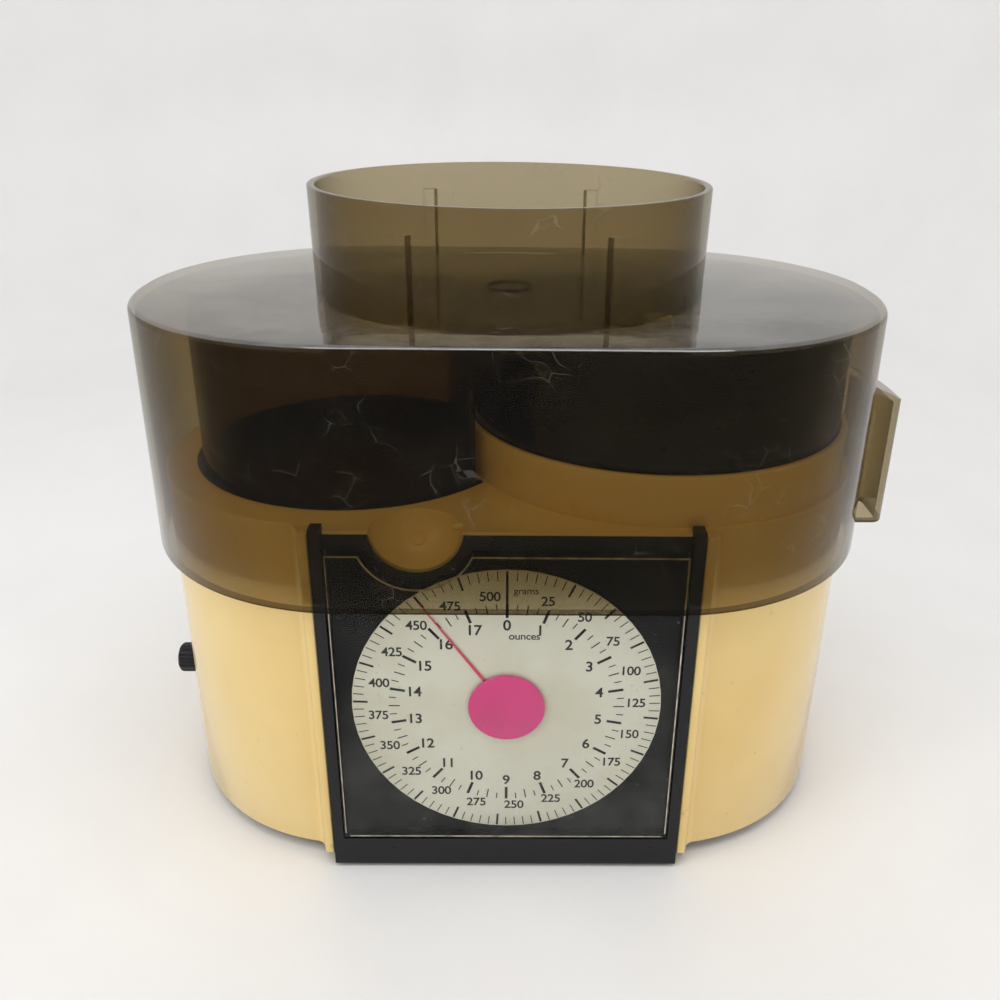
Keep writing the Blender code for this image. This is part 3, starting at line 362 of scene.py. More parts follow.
def hollow(block, z, wall, depth):
    """Sinks the level end face at this height by the depth, and leaves a wall round it."""
    pick(block, "FACE", lambda at, normal: abs(at.z - z) < 1e-5 and abs(normal.z) > 0.9)
    bpy.ops.mesh.inset(thickness=wall, depth=0.0, use_even_offset=True)
    bpy.ops.mesh.extrude_region_move(TRANSFORM_OT_translate={"value": (0.0, 0.0, depth)})
    object_mode()


def soften(block, test, width, steps=3):
    pick(block, "EDGE", test)
    bpy.ops.mesh.bevel(offset=width, segments=steps, affect="EDGES", clamp_overlap=True)
    object_mode()


def fuse(block, other, operation="UNION"):
    """Moulds the other shape onto the block, or cuts it out, and clears it away."""
    hold(block)
    joint = block.modifiers.new("fuse", "BOOLEAN")
    joint.object = other
    joint.operation = operation
    joint.solver = "EXACT"
    bpy.ops.object.modifier_apply(modifier=joint.name)
    bpy.data.objects.remove(other)


def smooth(piece, degrees=32.0):
    hold(piece)
    bpy.ops.object.shade_smooth_by_angle(angle=math.radians(degrees))


cream = (0.890, 0.660, 0.262)
cream_aged = (0.835, 0.585, 0.205)

cream_plastic = paint("cream_plastic", cream, 0.2, Coat_Weight=0.35, Coat_Roughness=0.06, IOR=1.5)
place = object_place(cream_plastic)
ageing = speckle(cream_plastic, place, 11.0, 3.0, 0.40, 0.66)
tone = between(cream_plastic, ageing, cream, cream_aged)
specks = speckle(cream_plastic, object_place(cream_plastic, (1.0, 1.0, 0.7)), 210.0, 2.0, 0.70, 0.76)
tone = between(cream_plastic, sums(cream_plastic, "MULTIPLY", specks, 0.35), tone, (0.46, 0.30, 0.10))
coloured(cream_plastic, tone)
smears = speckle(cream_plastic, object_place(cream_plastic, (1.0, 1.0, 0.35)), 34.0, 5.0, 0.42, 0.68)
polished(cream_plastic, between(cream_plastic, smears, 0.17, 0.26))
waviness = speckle(cream_plastic, place, 30.0, 1.0, 0.1, 0.9)
relief(cream_plastic, waviness, 0.00012)
dress(cream_plastic, "platform_plate")

drum_low, drum_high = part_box("drum")
deck_z = drum_low.z - 0.0003
housing_end = housing_high.x - middle_x
front_y = -housing_high.y
wall = 0.0026
tower_x = (drum_low.x + drum_high.x) / 2
tower_radius = 0.0682
tower_gap = 0.0008
neck_radius = 0.0069
spindle_bore = 0.0043
stem_bore = 0.0043
well_x = middle_x - 0.05475
well_radius = 0.0574
well_depth = 0.0309
window_half = 0.0583
bead_offset = 0.0604
bead_width = 0.0030
bead_fillet = 0.0031
bead_stand = 0.0053
groove_radius = 0.0036
ledge_half = 0.0562
ledge_thick = 0.0011
end_radius = 0.0680
boss_radius = 0.0045
boss_angle = math.radians(48.0)


def nest_block(inset, low, high):
    """A block in the bowl's plan, drawn in by the inset."""
    block = round_block(well_x, 0.0, well_radius - inset, low, high, 128)
    bite = round_block(tower_x, 0.0, tower_radius + tower_gap + inset, low - 0.01, high + 0.01, 160)
    fuse(block, bite, "DIFFERENCE")
    return block


def plain_block(x_low, x_high, y_low, y_high, z_low, z_high):
    fresh()
    bpy.ops.mesh.primitive_cube_add(
        size=1.0, location=((x_low + x_high) / 2, (y_low + y_high) / 2, (z_low + z_high) / 2),
    )
    bpy.ops.transform.resize(value=(x_high - x_low, y_high - y_low, z_high - z_low))
    return set_down(bpy.context.object, "block")


def cross_bar(x, y_low, y_high, z, radius, steps=72):
    """A round bar laid along Y."""
    fresh()
    bpy.ops.mesh.primitive_cylinder_add(
        vertices=steps, radius=radius, depth=y_high - y_low, location=(x, (y_low + y_high) / 2, z),
        rotation=(math.radians(90.0), 0.0, 0.0),
    )
    return set_down(bpy.context.object, "bar")


# The shell: a block with round ends, its upper edge eased, hollow from below.
shell = long_block(middle_x, housing_end, housing_high.y, housing_high.y - 0.0005, housing_low.z, deck_z, 200)
hollow(shell, housing_low.z, wall, deck_z - wall - housing_low.z)
soften(shell, level_rim(deck_z), 0.0008, 3)
soften(shell, level_rim(housing_low.z), 0.0004, 2)

# The tower for the drum stands on the right half of the deck, and the well
# for the weighing bowl sinks into the left half.
ring_wall = round_block(tower_x, 0.0, tower_radius, deck_z - 0.0010, housing_high.z, 176)
hollow(ring_wall, housing_high.z, wall, deck_z - 0.0004 - housing_high.z)
soften(ring_wall, level_rim(housing_high.z), 0.0007, 3)
fuse(shell, ring_wall)
neck = round_block(tower_x, 0.0, neck_radius, deck_z - 0.0010, deck_z + 0.0071, 48)
fuse(shell, neck)
fuse(shell, round_block(tower_x, 0.0, spindle_bore, deck_z - 0.0060, deck_z + 0.0100, 48), "DIFFERENCE")
fuse(shell, round_block(tower_x, 0.0480, 0.0038, deck_z - 0.0060, deck_z + 0.0020, 32), "DIFFERENCE")
well_floor = deck_z - well_depth
fuse(shell, nest_block(-wall, well_floor - wall, deck_z - 0.0010))
fuse(shell, nest_block(0.0, well_floor, deck_z + 0.0010), "DIFFERENCE")
fuse(shell, round_block(well_x, 0.0, stem_bore, well_floor - 0.0060, well_floor + 0.0020, 32), "DIFFERENCE")

# A raised bead runs up each side of the window, with a hollow fillet on its
# outer side, and a thin ledge carries the deck out over the window.
for side in (-1.0, 1.0):
    inner = middle_x + side * bead_offset
    outer = inner + side * bead_width
    root = outer + side * bead_fillet
    bead_low = front_y - bead_stand
    bead = plain_block(
        min(inner, root), max(inner, root), bead_low, front_y + 0.0016,
        housing_low.z + 0.0008, deck_z - 0.0002,
    )
    groove_y = bead_low + 0.0022
    groove = round_block(outer + side * 0.0042, groove_y, groove_radius, 0.0, deck_z + 0.01, 72)
    fuse(bead, groove, "DIFFERENCE")
    waste_end = outer + side * 0.006
    waste = plain_block(
        min(outer, waste_end), max(outer, waste_end), bead_low - 0.001, groove_y,
        0.0, deck_z + 0.01,
    )
    fuse(bead, waste, "DIFFERENCE")
    soften(bead, lambda a, b: abs(a.y - bead_low) < 1e-5 and abs(b.y - bead_low) < 1e-5, 0.0005, 3)
    fuse(shell, bead)
ledge = plain_block(
    middle_x - ledge_half, middle_x + ledge_half, front_y - 0.0035, front_y + 0.0010,
    deck_z - ledge_thick, deck_z,
)
fuse(shell, ledge)
window_seat = plain_block(
    middle_x - window_half, middle_x + window_half, front_y - 0.0010, front_y + 0.0036,
    housing_low.z + 0.0030, deck_z - 0.0063,
)
fuse(shell, window_seat, "DIFFERENCE")

# The finger scoop is a quarter of a ball sunk into the front edge of the deck.
scoop_radius = 0.0142
cup_radius = 0.0162
cup_reach = 0.0182
scoop_x = middle_x - 0.0281
scoop_y = front_y - 0.0010
scoop_z = deck_z


def round_ball(radius):
    fresh()
    bpy.ops.mesh.primitive_uv_sphere_add(
        segments=64, ring_count=40, radius=radius, location=(scoop_x, scoop_y, scoop_z),
        rotation=(0.0, math.radians(90.0), 0.0),
    )
    return set_down(bpy.context.object, "ball")


cup = round_ball(cup_radius)
quarter = plain_block(
    scoop_x - cup_reach, scoop_x + cup_reach, scoop_y, scoop_y + cup_reach,
    scoop_z - cup_reach, deck_z - 0.0005,
)
fuse(cup, quarter, "INTERSECT")
fuse(shell, cup)
fuse(shell, round_ball(scoop_radius), "DIFFERENCE")
fuse(shell, cross_bar(scoop_x, scoop_y - 0.0080, scoop_y + 0.0002, scoop_z, scoop_radius), "DIFFERENCE")

# Four bosses inside the ends take the base plate's screws, and a hole low at
# the back takes the cord's gland.
boss_reach = end_radius - wall - boss_radius + 0.0012
for side_x in (-1.0, 1.0):
    for side_y in (-1.0, 1.0):
        boss_x = middle_x + side_x * (housing_end - end_radius + boss_reach * math.cos(boss_angle))
        boss_y = side_y * boss_reach * math.sin(boss_angle)
        fuse(shell, round_block(boss_x, boss_y, boss_radius, housing_low.z + 0.0031, 0.0240, 24))
gland_x = tower_x + 0.0300
gland_z = 0.0200
gland_hole = cross_bar(gland_x, housing_high.y - 0.0120, housing_high.y + 0.0020, gland_z, 0.0063, 40)
fuse(shell, gland_hole, "DIFFERENCE")
smooth(shell, 30.0)
finish(shell, "cream_housing", cream_plastic, "base")
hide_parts("base_housing")

# ------------------------------------------------------------------ black mouldings
# Window surround, dial backing, bowl ring, drum, knob and base plate are all
# moulded in the same glossy black, with dust and fine rub marks on it.

black_plastic = paint("black_plastic", (0.006, 0.006, 0.008), 0.2, Specular_IOR_Level=0.35)
place = object_place(black_plastic)
rubs = speckle(black_plastic, object_place(black_plastic, (1.0, 1.0, 3.0)), 60.0, 6.0, 0.45, 0.75)
polished(black_plastic, between(black_plastic, rubs, 0.14, 0.34))
dust = speckle(black_plastic, place, 420.0, 2.0, 0.70, 0.80)
tone = between(
    black_plastic, sums(black_plastic, "MULTIPLY", dust, 0.22), (0.003, 0.003, 0.005), (0.13, 0.125, 0.12),
)
coloured(black_plastic, tone)
relief(black_plastic, speckle(black_plastic, place, 40.0, 2.0, 0.2, 0.8), 0.00003)
dial_backing = paint("dial_backing", (0.004, 0.004, 0.005), 0.5, Specular_IOR_Level=0.1)
fine = speckle(dial_backing, object_place(dial_backing), 500.0, 3.0, 0.6, 0.8)
coloured(dial_backing, between(dial_backing, fine, (0.004, 0.004, 0.005), (0.03, 0.03, 0.03)))
dress(dial_backing, "dial_panel")
dress(black_plastic, "front_bezel", "slicing_disc", "base_plate", "interlock_switch")

# ------------------------------------------------------------------ smoked cover and bowl
# Both are clear brown-smoked styrene: what lies behind them shows through two
# tinted faces, and years of washing have left swirls, chips and dull patches.


def smoked_plastic(name, tint, haze_high, haze_colour, swirl_scale, rim_shade_z, top_z, top_haze, top_mirror):
    """Tinted see-through plastic; its upward faces over top_z carry the dust and the rubs."""
    material = bpy.data.materials.new(name)
    material.use_nodes = True
    nodes = material.node_tree.nodes
    nodes.remove(nodes["Principled BSDF"])
    clear = add(material, "ShaderNodeBsdfTransparent")
    clear.inputs["Color"].default_value = (*tint, 1.0)
    film = add(material, "ShaderNodeBsdfDiffuse")
    film.inputs["Color"].default_value = (*haze_colour, 1.0)
    gloss = add(material, "ShaderNodeBsdfGlossy")
    gloss.inputs["Color"].default_value = (1.0, 1.0, 1.0, 1.0)
    place = object_place(material)

    # The dusty top: faces that look up, at the plate's height, outside the collar.
    height = add(material, "ShaderNodeSeparateXYZ")
    way = add(material, "ShaderNodeSeparateXYZ")
    surface = add(material, "ShaderNodeNewGeometry")
    wire(material, (place, height.inputs[0]), (surface.outputs["Normal"], way.inputs[0]))
    flat = sums(material, "GREATER_THAN", way.outputs["Z"], 0.7)
    near_top = sums(material, "GREATER_THAN", height.outputs["Z"], top_z - 0.0008)
    below_lip = sums(material, "LESS_THAN", height.outputs["Z"], top_z + 0.0008)
    top = sums(material, "MULTIPLY", sums(material, "MULTIPLY", flat, near_top), below_lip)
    from_axis = add(material, "ShaderNodeVectorMath", operation="LENGTH")
    level_place = add(material, "ShaderNodeVectorMath", operation="MULTIPLY_ADD")
    level_place.inputs[1].default_value = (1.0, 1.0, 0.0)
    level_place.inputs[2].default_value = (-middle_x, 0.0, 0.0)
    wire(material, (place, level_place.inputs[0]), (level_place.outputs[0], from_axis.inputs[0]))
    outside = sums(material, "GREATER_THAN", from_axis.outputs["Value"], collar_foot - 0.0001)
    top = sums(material, "MULTIPLY", top, outside)

    # Wear: soft rubs, hairline scratches that break off, and grit.
    scuffs = speckle(material, place, swirl_scale, 7.0, 0.42, 0.72, 0.7)
    scratch_field = add(material, "ShaderNodeTexVoronoi", feature="DISTANCE_TO_EDGE")
    scratch_field.inputs["Scale"].default_value = 95.0
    bent = add(material, "ShaderNodeTexNoise")
    bent.inputs["Scale"].default_value = 22.0
    bent.inputs["Detail"].default_value = 3.0
    crooked = add(material, "ShaderNodeVectorMath", operation="MULTIPLY_ADD")
    crooked.inputs[1].default_value = (0.05, 0.05, 0.05)
    wire(
        material,
        (place, bent.inputs["Vector"]),
        (bent.outputs["Color"], crooked.inputs[0]),
        (place, crooked.inputs[2]),
        (crooked.outputs[0], scratch_field.inputs["Vector"]),
    )
    hairline = sums(material, "LESS_THAN", scratch_field.outputs["Distance"], 0.012)
    broken = speckle(material, place, 60.0, 2.0, 0.55, 0.62)
    hairline = sums(material, "MULTIPLY", hairline, broken)
    grit = speckle(material, place, 330.0, 2.0, 0.74, 0.78)
    hairline = sums(material, "MULTIPLY", hairline, 0.10)
    marks = sums(material, "ADD", hairline, sums(material, "MULTIPLY", grit, 0.12))
    wire(material, (between(material, scuffs, 0.035, 0.13), gloss.inputs["Roughness"]))

    # The tint deepens where the wall is seen edge on, and a band of painted shade darkens it along the cut
    # lower rim.
    dull = add(material, "ShaderNodeMixShader")
    slant = add(material, "ShaderNodeLayerWeight", Blend=0.5)
    depth = sums(material, "POWER", slant.outputs["Facing"], 3.0)
    # Painted shade: a dark band in the lowest 0.9 mm above the rim height.
    rim_painted_shade = sums(material, "MULTIPLY", sums(material, "LESS_THAN", height.outputs["Z"], rim_shade_z + 0.0009), 0.75)
    depth = sums(material, "MAXIMUM", depth, rim_painted_shade)
    deep_tint_and_rim_shade = (tint[0] * 0.35, tint[1] * 0.32, tint[2] * 0.28)
    wire(material, (between(material, depth, tint, deep_tint_and_rim_shade), clear.inputs["Color"]))

    # The dull film, and then the gloss over it.
    veil = between(material, scuffs, 0.0, haze_high)
    top_veil = sums(material, "MULTIPLY", top, between(material, scuffs, 0.25 * top_haze, 2.2 * top_haze))
    veil = sums(material, "ADD", veil, top_veil)
    veil = sums(material, "ADD", veil, marks)
    rim = add(material, "ShaderNodeLayerWeight", Blend=0.5)
    edge_on = sums(material, "POWER", rim.outputs["Facing"], 5.0)
    mirror = sums(material, "ADD", sums(material, "MULTIPLY", edge_on, 0.70), 0.005)
    mirror = sums(material, "ADD", mirror, sums(material, "MULTIPLY", top, top_mirror))
    skin = add(material, "ShaderNodeMixShader")
    ripples = speckle(material, place, 50.0, 2.0, 0.1, 0.9)
    bump = add(material, "ShaderNodeBump")
    bump.inputs["Strength"].default_value = 1.0
    bump.inputs["Distance"].default_value = 0.00016
    wire(
        material,
        (veil, dull.inputs[0]),
        (clear.outputs[0], dull.inputs[1]),
        (film.outputs[0], dull.inputs[2]),
        (ripples, bump.inputs["Height"]),
        (bump.outputs["Normal"], gloss.inputs["Normal"]),
        (mirror, skin.inputs[0]),
        (dull.outputs[0], skin.inputs[1]),
        (gloss.outputs[0], skin.inputs[2]),
        (skin.outputs[0], nodes["Material Output"].inputs["Surface"]),
    )
    return material


cover_low, cover_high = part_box("cover")
bowl_low, bowl_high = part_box("weigh_bowl")
cover_wall = 0.0025
plate_top = drum_high.z + 0.0003 + cover_wall
cover_half_x = middle_x - cover_low.x
cover_half_y = cover_high.y
cover_corner = cover_half_y - 0.0026
skirt_z = cover_low.z + 0.0002
collar_radius = 0.0660
collar_foot = 0.0653
collar_wall = 0.0026

# The cover's lower rim carries a band of painted shade from skirt_z up.
cover_plastic = smoked_plastic(
    "smoked_cover_plastic", tint=(0.665, 0.612, 0.49), haze_high=0.007, haze_colour=(0.42, 0.40, 0.36),
    swirl_scale=42.0, rim_shade_z=skirt_z, top_z=plate_top, top_haze=0.10, top_mirror=0.13,
)
# The bowl has no dusty top, so its top lies out of reach.
bowl_plastic = smoked_plastic(
    "smoked_bowl_plastic", tint=(0.55, 0.485, 0.33), haze_high=0.004, haze_colour=(0.20, 0.17, 0.14),
    swirl_scale=60.0, rim_shade_z=0.0, top_z=0.5, top_haze=0.0, top_mirror=0.0,
)

# The lid is a deep block with round ends, hollowed from below; its side
# walls lean in a little so that it leaves its mould.
lid = long_block(middle_x, cover_half_x, cover_half_y, cover_corner, skirt_z, plate_top)
pick(lid, "VERT", lambda at: abs(at.z - plate_top) < 1e-5)
bpy.ops.transform.resize(
    value=(1.0 - 0.0005 / cover_half_x, 1.0 - 0.0005 / cover_half_y, 1.0),
    center_override=(middle_x, 0.0, plate_top),
)
hollow(lid, skirt_z, cover_wall, plate_top - skirt_z - cover_wall)
soften(lid, level_rim(plate_top), 0.0024, 5)
soften(lid, level_rim(plate_top - cover_wall), 0.0010, 3)
soften(lid, level_rim(skirt_z), 0.0005, 2)

# The collar stands over the middle of the lid, open at the top, and holds
# a dish; it flares slightly upwards and has four locating ribs inside.
collar = round_block(middle_x, 0.0, collar_foot, plate_top - 0.0010, cover_high.z, 128)
pick(collar, "VERT", lambda at: abs(at.z - cover_high.z) < 1e-5)
bpy.ops.transform.resize(
    value=(collar_radius / collar_foot, collar_radius / collar_foot, 1.0),
    center_override=(middle_x, 0.0, cover_high.z),
)
hollow(collar, cover_high.z, collar_wall, plate_top - 0.0005 - cover_high.z)
soften(collar, level_rim(cover_high.z), 0.0006, 3)
fuse(lid, collar)
rib_reach = collar_foot - collar_wall - 0.0009
for degrees in (60.0, 120.0, 240.0, 300.0):
    fresh()
    bpy.ops.mesh.primitive_cube_add(
        size=1.0, location=(middle_x + rib_reach, 0.0, (plate_top + cover_high.z - 0.0100) / 2),
    )
    bpy.ops.transform.resize(value=(0.0038, 0.0050, cover_high.z - 0.0080 - plate_top))
    rib = set_down(bpy.context.object, "rib")
    soften(rib, lambda a, b: max(a.x, b.x) < middle_x + rib_reach and abs(a.z - b.z) > 0.001, 0.0008, 3)
    axis = Matrix.Translation((middle_x, 0.0, 0.0))
    rib.matrix_world = axis @ Matrix.Rotation(math.radians(degrees), 4, "Z") @ axis.inverted()
    set_down(rib, "rib")
    fuse(lid, rib)

# The pull at the right end is a thin-walled pocket, open below for the
# fingertips, with a roof that slopes outwards.
pull_root = middle_x + cover_half_x - 0.0018
pull_low = cover_low.z
pull_high = pull_low + 0.0542
pull_half = 0.0112
fresh()
bpy.ops.mesh.primitive_cube_add(
    size=1.0, location=((pull_root + cover_high.x) / 2, 0.0, (pull_low + pull_high) / 2),
)
bpy.ops.transform.resize(value=(cover_high.x - pull_root, 2 * pull_half, pull_high - pull_low))
pull = set_down(bpy.context.object, "pull")
soften(
    pull, lambda a, b: a.x > pull_root + 0.001 and b.x > pull_root + 0.001 and abs(a.z - b.z) > 0.01,
    0.0048, 6,
)
roof = bmesh.new()
roof.from_mesh(pull.data)
for point in roof.verts:
    if point.co.z > pull_high - 1e-5:
        point.co.z -= 0.56 * max(point.co.x - pull_root - 0.0018, 0.0)
roof.to_mesh(pull.data)
roof.free()
pick(pull, "FACE", lambda at, normal: normal.z < -0.9 or normal.x < -0.9)
bpy.ops.mesh.delete(type="FACE")
object_mode()
hold(pull)
thick = pull.modifiers.new("wall", "SOLIDIFY")
thick.thickness = 0.0022
thick.offset = -1.0
thick.use_even_offset = True
bpy.ops.object.modifier_apply(modifier="wall")
soften(pull, level_rim(pull_low), 0.0005, 2)
fuse(lid, pull)

# The mark of the gate, through which the plastic went in, shows as a small
# ring and a dimple in the middle of the plate.
fresh()
bpy.ops.mesh.primitive_torus_add(
    location=(middle_x, 0.0, plate_top + 0.0001), major_radius=0.0075, minor_radius=0.0006,
    major_segments=48, minor_segments=10,
)
gate = set_down(bpy.context.object, "gate_mark")
fuse(lid, gate)
smooth(lid)
finish(lid, "smoked_cover", cover_plastic, "cover")
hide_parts("cover")

# ------------------------------------------------------------------ weighing bowl
# A smoked bowl whose plan is round but for the side where the drum's tower
# reaches in. It stands in a black ring on the weighing platform.

bowl_wall = 0.0022
bowl_floor = bowl_low.z + 0.0024
bowl = nest_block(0.0023, bowl_low.z, bowl_high.z)
hollow(bowl, bowl_high.z, bowl_wall, bowl_floor - bowl_high.z)
soften(bowl, level_rim(bowl_high.z), 0.0005, 3)
soften(bowl, level_rim(bowl_low.z), 0.0012, 3)
soften(bowl, level_rim(bowl_floor), 0.0014, 3)
smooth(bowl)
finish(bowl, "smoked_bowl", bowl_plastic, "platform")
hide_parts("weigh_bowl")

ring_low, ring_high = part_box("platform_ring")
ring = nest_block(0.0003, ring_low.z, ring_high.z)
pick(ring, "FACE", lambda at, normal: abs(normal.z) > 0.9)
bpy.ops.mesh.inset(thickness=0.0016, depth=0.0, use_even_offset=True)
bpy.ops.mesh.bridge_edge_loops()
object_mode()
soften(ring, level_rim(ring_high.z), 0.0004, 2)
smooth(ring)
finish(ring, "bowl_ring", black_plastic, "platform")
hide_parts("platform_ring")

# ------------------------------------------------------------------ processing drum
# A plain black tub that drops over the spindle's neck and turns a little to
# lock; the slicing disc runs just under its rim.

drum_radius = drum_high.x - tower_x
tub = round_block(tower_x, 0.0, drum_radius, drum_low.z, drum_high.z, 160)
drum_wall = 0.0025
drum_floor = drum_low.z + drum_wall
hollow(tub, drum_high.z, drum_wall, drum_floor - drum_high.z)
soften(tub, level_rim(drum_high.z), 0.0007, 3)
soften(tub, level_rim(drum_low.z), 0.0009, 3)
soften(tub, level_rim(drum_floor), 0.0016, 3)
neck = round_block(tower_x, 0.0, 0.0095, drum_low.z + 0.0005, drum_low.z + 0.0105, 64)
fuse(tub, neck)
bore = round_block(tower_x, 0.0, 0.0075, drum_low.z - 0.01, drum_low.z + 0.02, 64)
fuse(tub, bore, "DIFFERENCE")
smooth(tub)
finish(tub, "processing_drum", black_plastic, "drum")
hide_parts("drum")

# ------------------------------------------------------------------ dial
# An off-white printed card disc behind the window, with an outer ring in
# grams and an inner ring in ounces, both running clockwise from the top.

card_low, card_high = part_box("dial_face")
dial_x = (card_low.x + card_high.x) / 2
dial_z = (card_low.z + card_high.z) / 2
dial_radius = (card_high.x - card_low.x) / 2
print_y = card_low.y
ounce_degrees = 20.0
gram_degrees = 360.0 / 510.3
ink_thick = 0.00004

dial_card = paint("dial_card", (0.80, 0.775, 0.66), 0.55)
place = object_place(dial_card)
stain = speckle(dial_card, place, 24.0, 4.0, 0.45, 0.75)
coloured(dial_card, between(dial_card, stain, (0.82, 0.795, 0.68), (0.72, 0.68, 0.53)))
relief(dial_card, speckle(dial_card, place, 900.0, 2.0, 0.2, 0.8), 0.00001)
dress(dial_card, "dial_face")

printing_ink = paint("printing_ink", (0.012, 0.012, 0.014), 0.5)
worn = speckle(printing_ink, object_place(printing_ink), 700.0, 3.0, 0.55, 0.8)
coloured(printing_ink, between(printing_ink, worn, (0.010, 0.010, 0.012), (0.06, 0.06, 0.06)))


def tick_ring(name, inner, outer, width, steps, degrees):
    """One printed stroke under the top of the dial, repeated clockwise."""
    fresh()
    bpy.ops.mesh.primitive_cube_add(
        size=1.0, location=(dial_x, print_y - ink_thick, dial_z + (inner + outer) / 2),
    )
    bpy.ops.transform.resize(value=(width, ink_thick, outer - inner))
    ring = set_down(bpy.context.object, name)
    bpy.ops.object.mode_set(mode="EDIT")
    bpy.ops.mesh.select_all(action="SELECT")
    bpy.ops.mesh.spin(
        steps=steps, dupli=True, angle=math.radians(steps * degrees), center=(dial_x, print_y, dial_z),
        axis=(0.0, 1.0, 0.0),
    )
    object_mode()
    return ring


def lettering(text, x, z, height, bolder):
    """Upright printed characters that face the user, centred at a point of the dial."""
    fresh()
    bpy.ops.object.text_add(location=(x, print_y, z), rotation=(math.radians(90.0), 0.0, 0.0))
    words = bpy.context.object
    words.data.body = text
    words.data.size = height / 0.70
    words.data.align_x = "CENTER"
    words.data.align_y = "CENTER"
    words.data.extrude = ink_thick
    words.data.offset = bolder
    words.data.space_character = 0.96
    bpy.ops.object.convert(target="MESH")
    return set_down(bpy.context.object, "characters")


# Distances from the dial's centre, as shares of its radius.
rim_end = 0.992 * dial_radius
gram_row = 0.836 * dial_radius
gram_drop = 0.818 * dial_radius
ounce_end = 0.762 * dial_radius
ounce_start = 0.664 * dial_radius
ounce_row = 0.606 * dial_radius
strokes = [
    tick_ring("gram_ticks", 0.925 * dial_radius, rim_end, 0.00032, 101, 5 * gram_degrees),
    tick_ring("gram_bold", 0.898 * dial_radius, rim_end, 0.00075, 19, 25 * gram_degrees),
    tick_ring("ounce_quarters", 0.716 * dial_radius, ounce_end, 0.00034, 71, ounce_degrees / 4),
    tick_ring("ounce_halves", 0.692 * dial_radius, ounce_end, 0.00038, 35, ounce_degrees / 2),
    tick_ring("ounce_bold", ounce_start, ounce_end, 0.00095, 17, ounce_degrees),
    tick_ring("zero_line", ounce_start, rim_end, 0.00080, 1, 360.0),
]
for grams in range(25, 501, 25):
    turn = math.radians(grams * gram_degrees)
    x, z = dial_x + gram_row * math.sin(turn), dial_z + gram_drop * math.cos(turn)
    strokes.append(lettering(str(grams), x, z, 0.0033, 0.00008))
for ounces in range(18):
    turn = math.radians(ounces * ounce_degrees)
    x, z = dial_x + ounce_row * math.sin(turn), dial_z + ounce_row * math.cos(turn)
    strokes.append(lettering(str(ounces), x, z, 0.0037, 0.00010))
strokes.append(lettering("grams", dial_x + 0.0060, dial_z + 0.0436, 0.0024, 0.0))
strokes.append(lettering("ounces", dial_x + 0.0056, dial_z + 0.0270, 0.0026, 0.00004))
hold(*strokes)
bpy.ops.object.join()
finish(bpy.context.object, "dial_printing", printing_ink, "base")

# ------------------------------------------------------------------ pointer
# A thin red needle from under a plain pink disc, both turning with the shaft
# that the rack drives as the bowl goes down.

needle_paint = paint("needle_paint", (0.70, 0.035, 0.12), 0.3, Coat_Weight=0.5)
flakes = speckle(needle_paint, object_place(needle_paint), 800.0, 2.0, 0.55, 0.8)
coloured(needle_paint, between(needle_paint, flakes, (0.72, 0.035, 0.12), (0.50, 0.03, 0.09)))
pink_disc = paint("pink_disc", (0.80, 0.035, 0.26), 0.28, Coat_Weight=0.3)
place = object_place(pink_disc)
fade = speckle(pink_disc, place, 60.0, 4.0, 0.35, 0.75)
coloured(pink_disc, between(pink_disc, fade, (0.86, 0.040, 0.27), (0.72, 0.03, 0.22)))
relief(pink_disc, speckle(pink_disc, place, 300.0, 3.0, 0.2, 0.8), 0.00003)
dress(needle_paint, "needle")
dress(pink_disc, "needle_hub")

# ------------------------------------------------------------------ window
# A flat clear styrene pane in the surround, hazed by fine scratches and dust
# that lie mostly low down and to the left, with painted highlights along its sawn edges.

clear_pane = bpy.data.materials.new("clear_pane")
clear_pane.use_nodes = True
nodes = clear_pane.node_tree.nodes
nodes.remove(nodes["Principled BSDF"])
pane_clear = add(clear_pane, "ShaderNodeBsdfTransparent")
pane_clear.inputs["Color"].default_value = (0.955, 0.96, 0.95, 1.0)
pane_dust = add(clear_pane, "ShaderNodeBsdfDiffuse")
pane_dust.inputs["Color"].default_value = (0.62, 0.62, 0.60, 1.0)
pane_gloss = add(clear_pane, "ShaderNodeBsdfGlossy")
pane_gloss.inputs["Roughness"].default_value = 0.06
window_low, window_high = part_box("dial_window")
place = object_place(clear_pane)
split = add(clear_pane, "ShaderNodeSeparateXYZ")
wire(clear_pane, (place, split.inputs[0]))
lower = add(clear_pane, "ShaderNodeMapRange")
lower.inputs["From Min"].default_value = window_high.z
lower.inputs["From Max"].default_value = window_low.z
lower.inputs["To Min"].default_value = 0.0
lower.inputs["To Max"].default_value = 1.0
wire(clear_pane, (split.outputs["Z"], lower.inputs["Value"]))
clouds = speckle(clear_pane, place, 30.0, 6.0, 0.30, 0.75, 0.7)
haze = sums(clear_pane, "MULTIPLY", sums(clear_pane, "MULTIPLY", clouds, lower.outputs[0]), 0.08)
grit = sums(clear_pane, "MULTIPLY", speckle(clear_pane, place, 520.0, 2.0, 0.72, 0.76), 0.2)
haze = sums(clear_pane, "ADD", haze, grit)
dusty = add(clear_pane, "ShaderNodeMixShader")
rim = add(clear_pane, "ShaderNodeLayerWeight", Blend=0.5)
edge_on = sums(clear_pane, "POWER", rim.outputs["Facing"], 5.0)
mirror = sums(clear_pane, "ADD", sums(clear_pane, "MULTIPLY", edge_on, 0.80), 0.004)
skin = add(clear_pane, "ShaderNodeMixShader")
wire(
    clear_pane,
    (haze, dusty.inputs[0]),
    (pane_clear.outputs[0], dusty.inputs[1]),
    (pane_dust.outputs[0], dusty.inputs[2]),
    (mirror, skin.inputs[0]),
    (dusty.outputs[0], skin.inputs[1]),
    (pane_gloss.outputs[0], skin.inputs[2]),
    (skin.outputs[0], nodes["Material Output"].inputs["Surface"]),
)
dress(clear_pane, "dial_window")
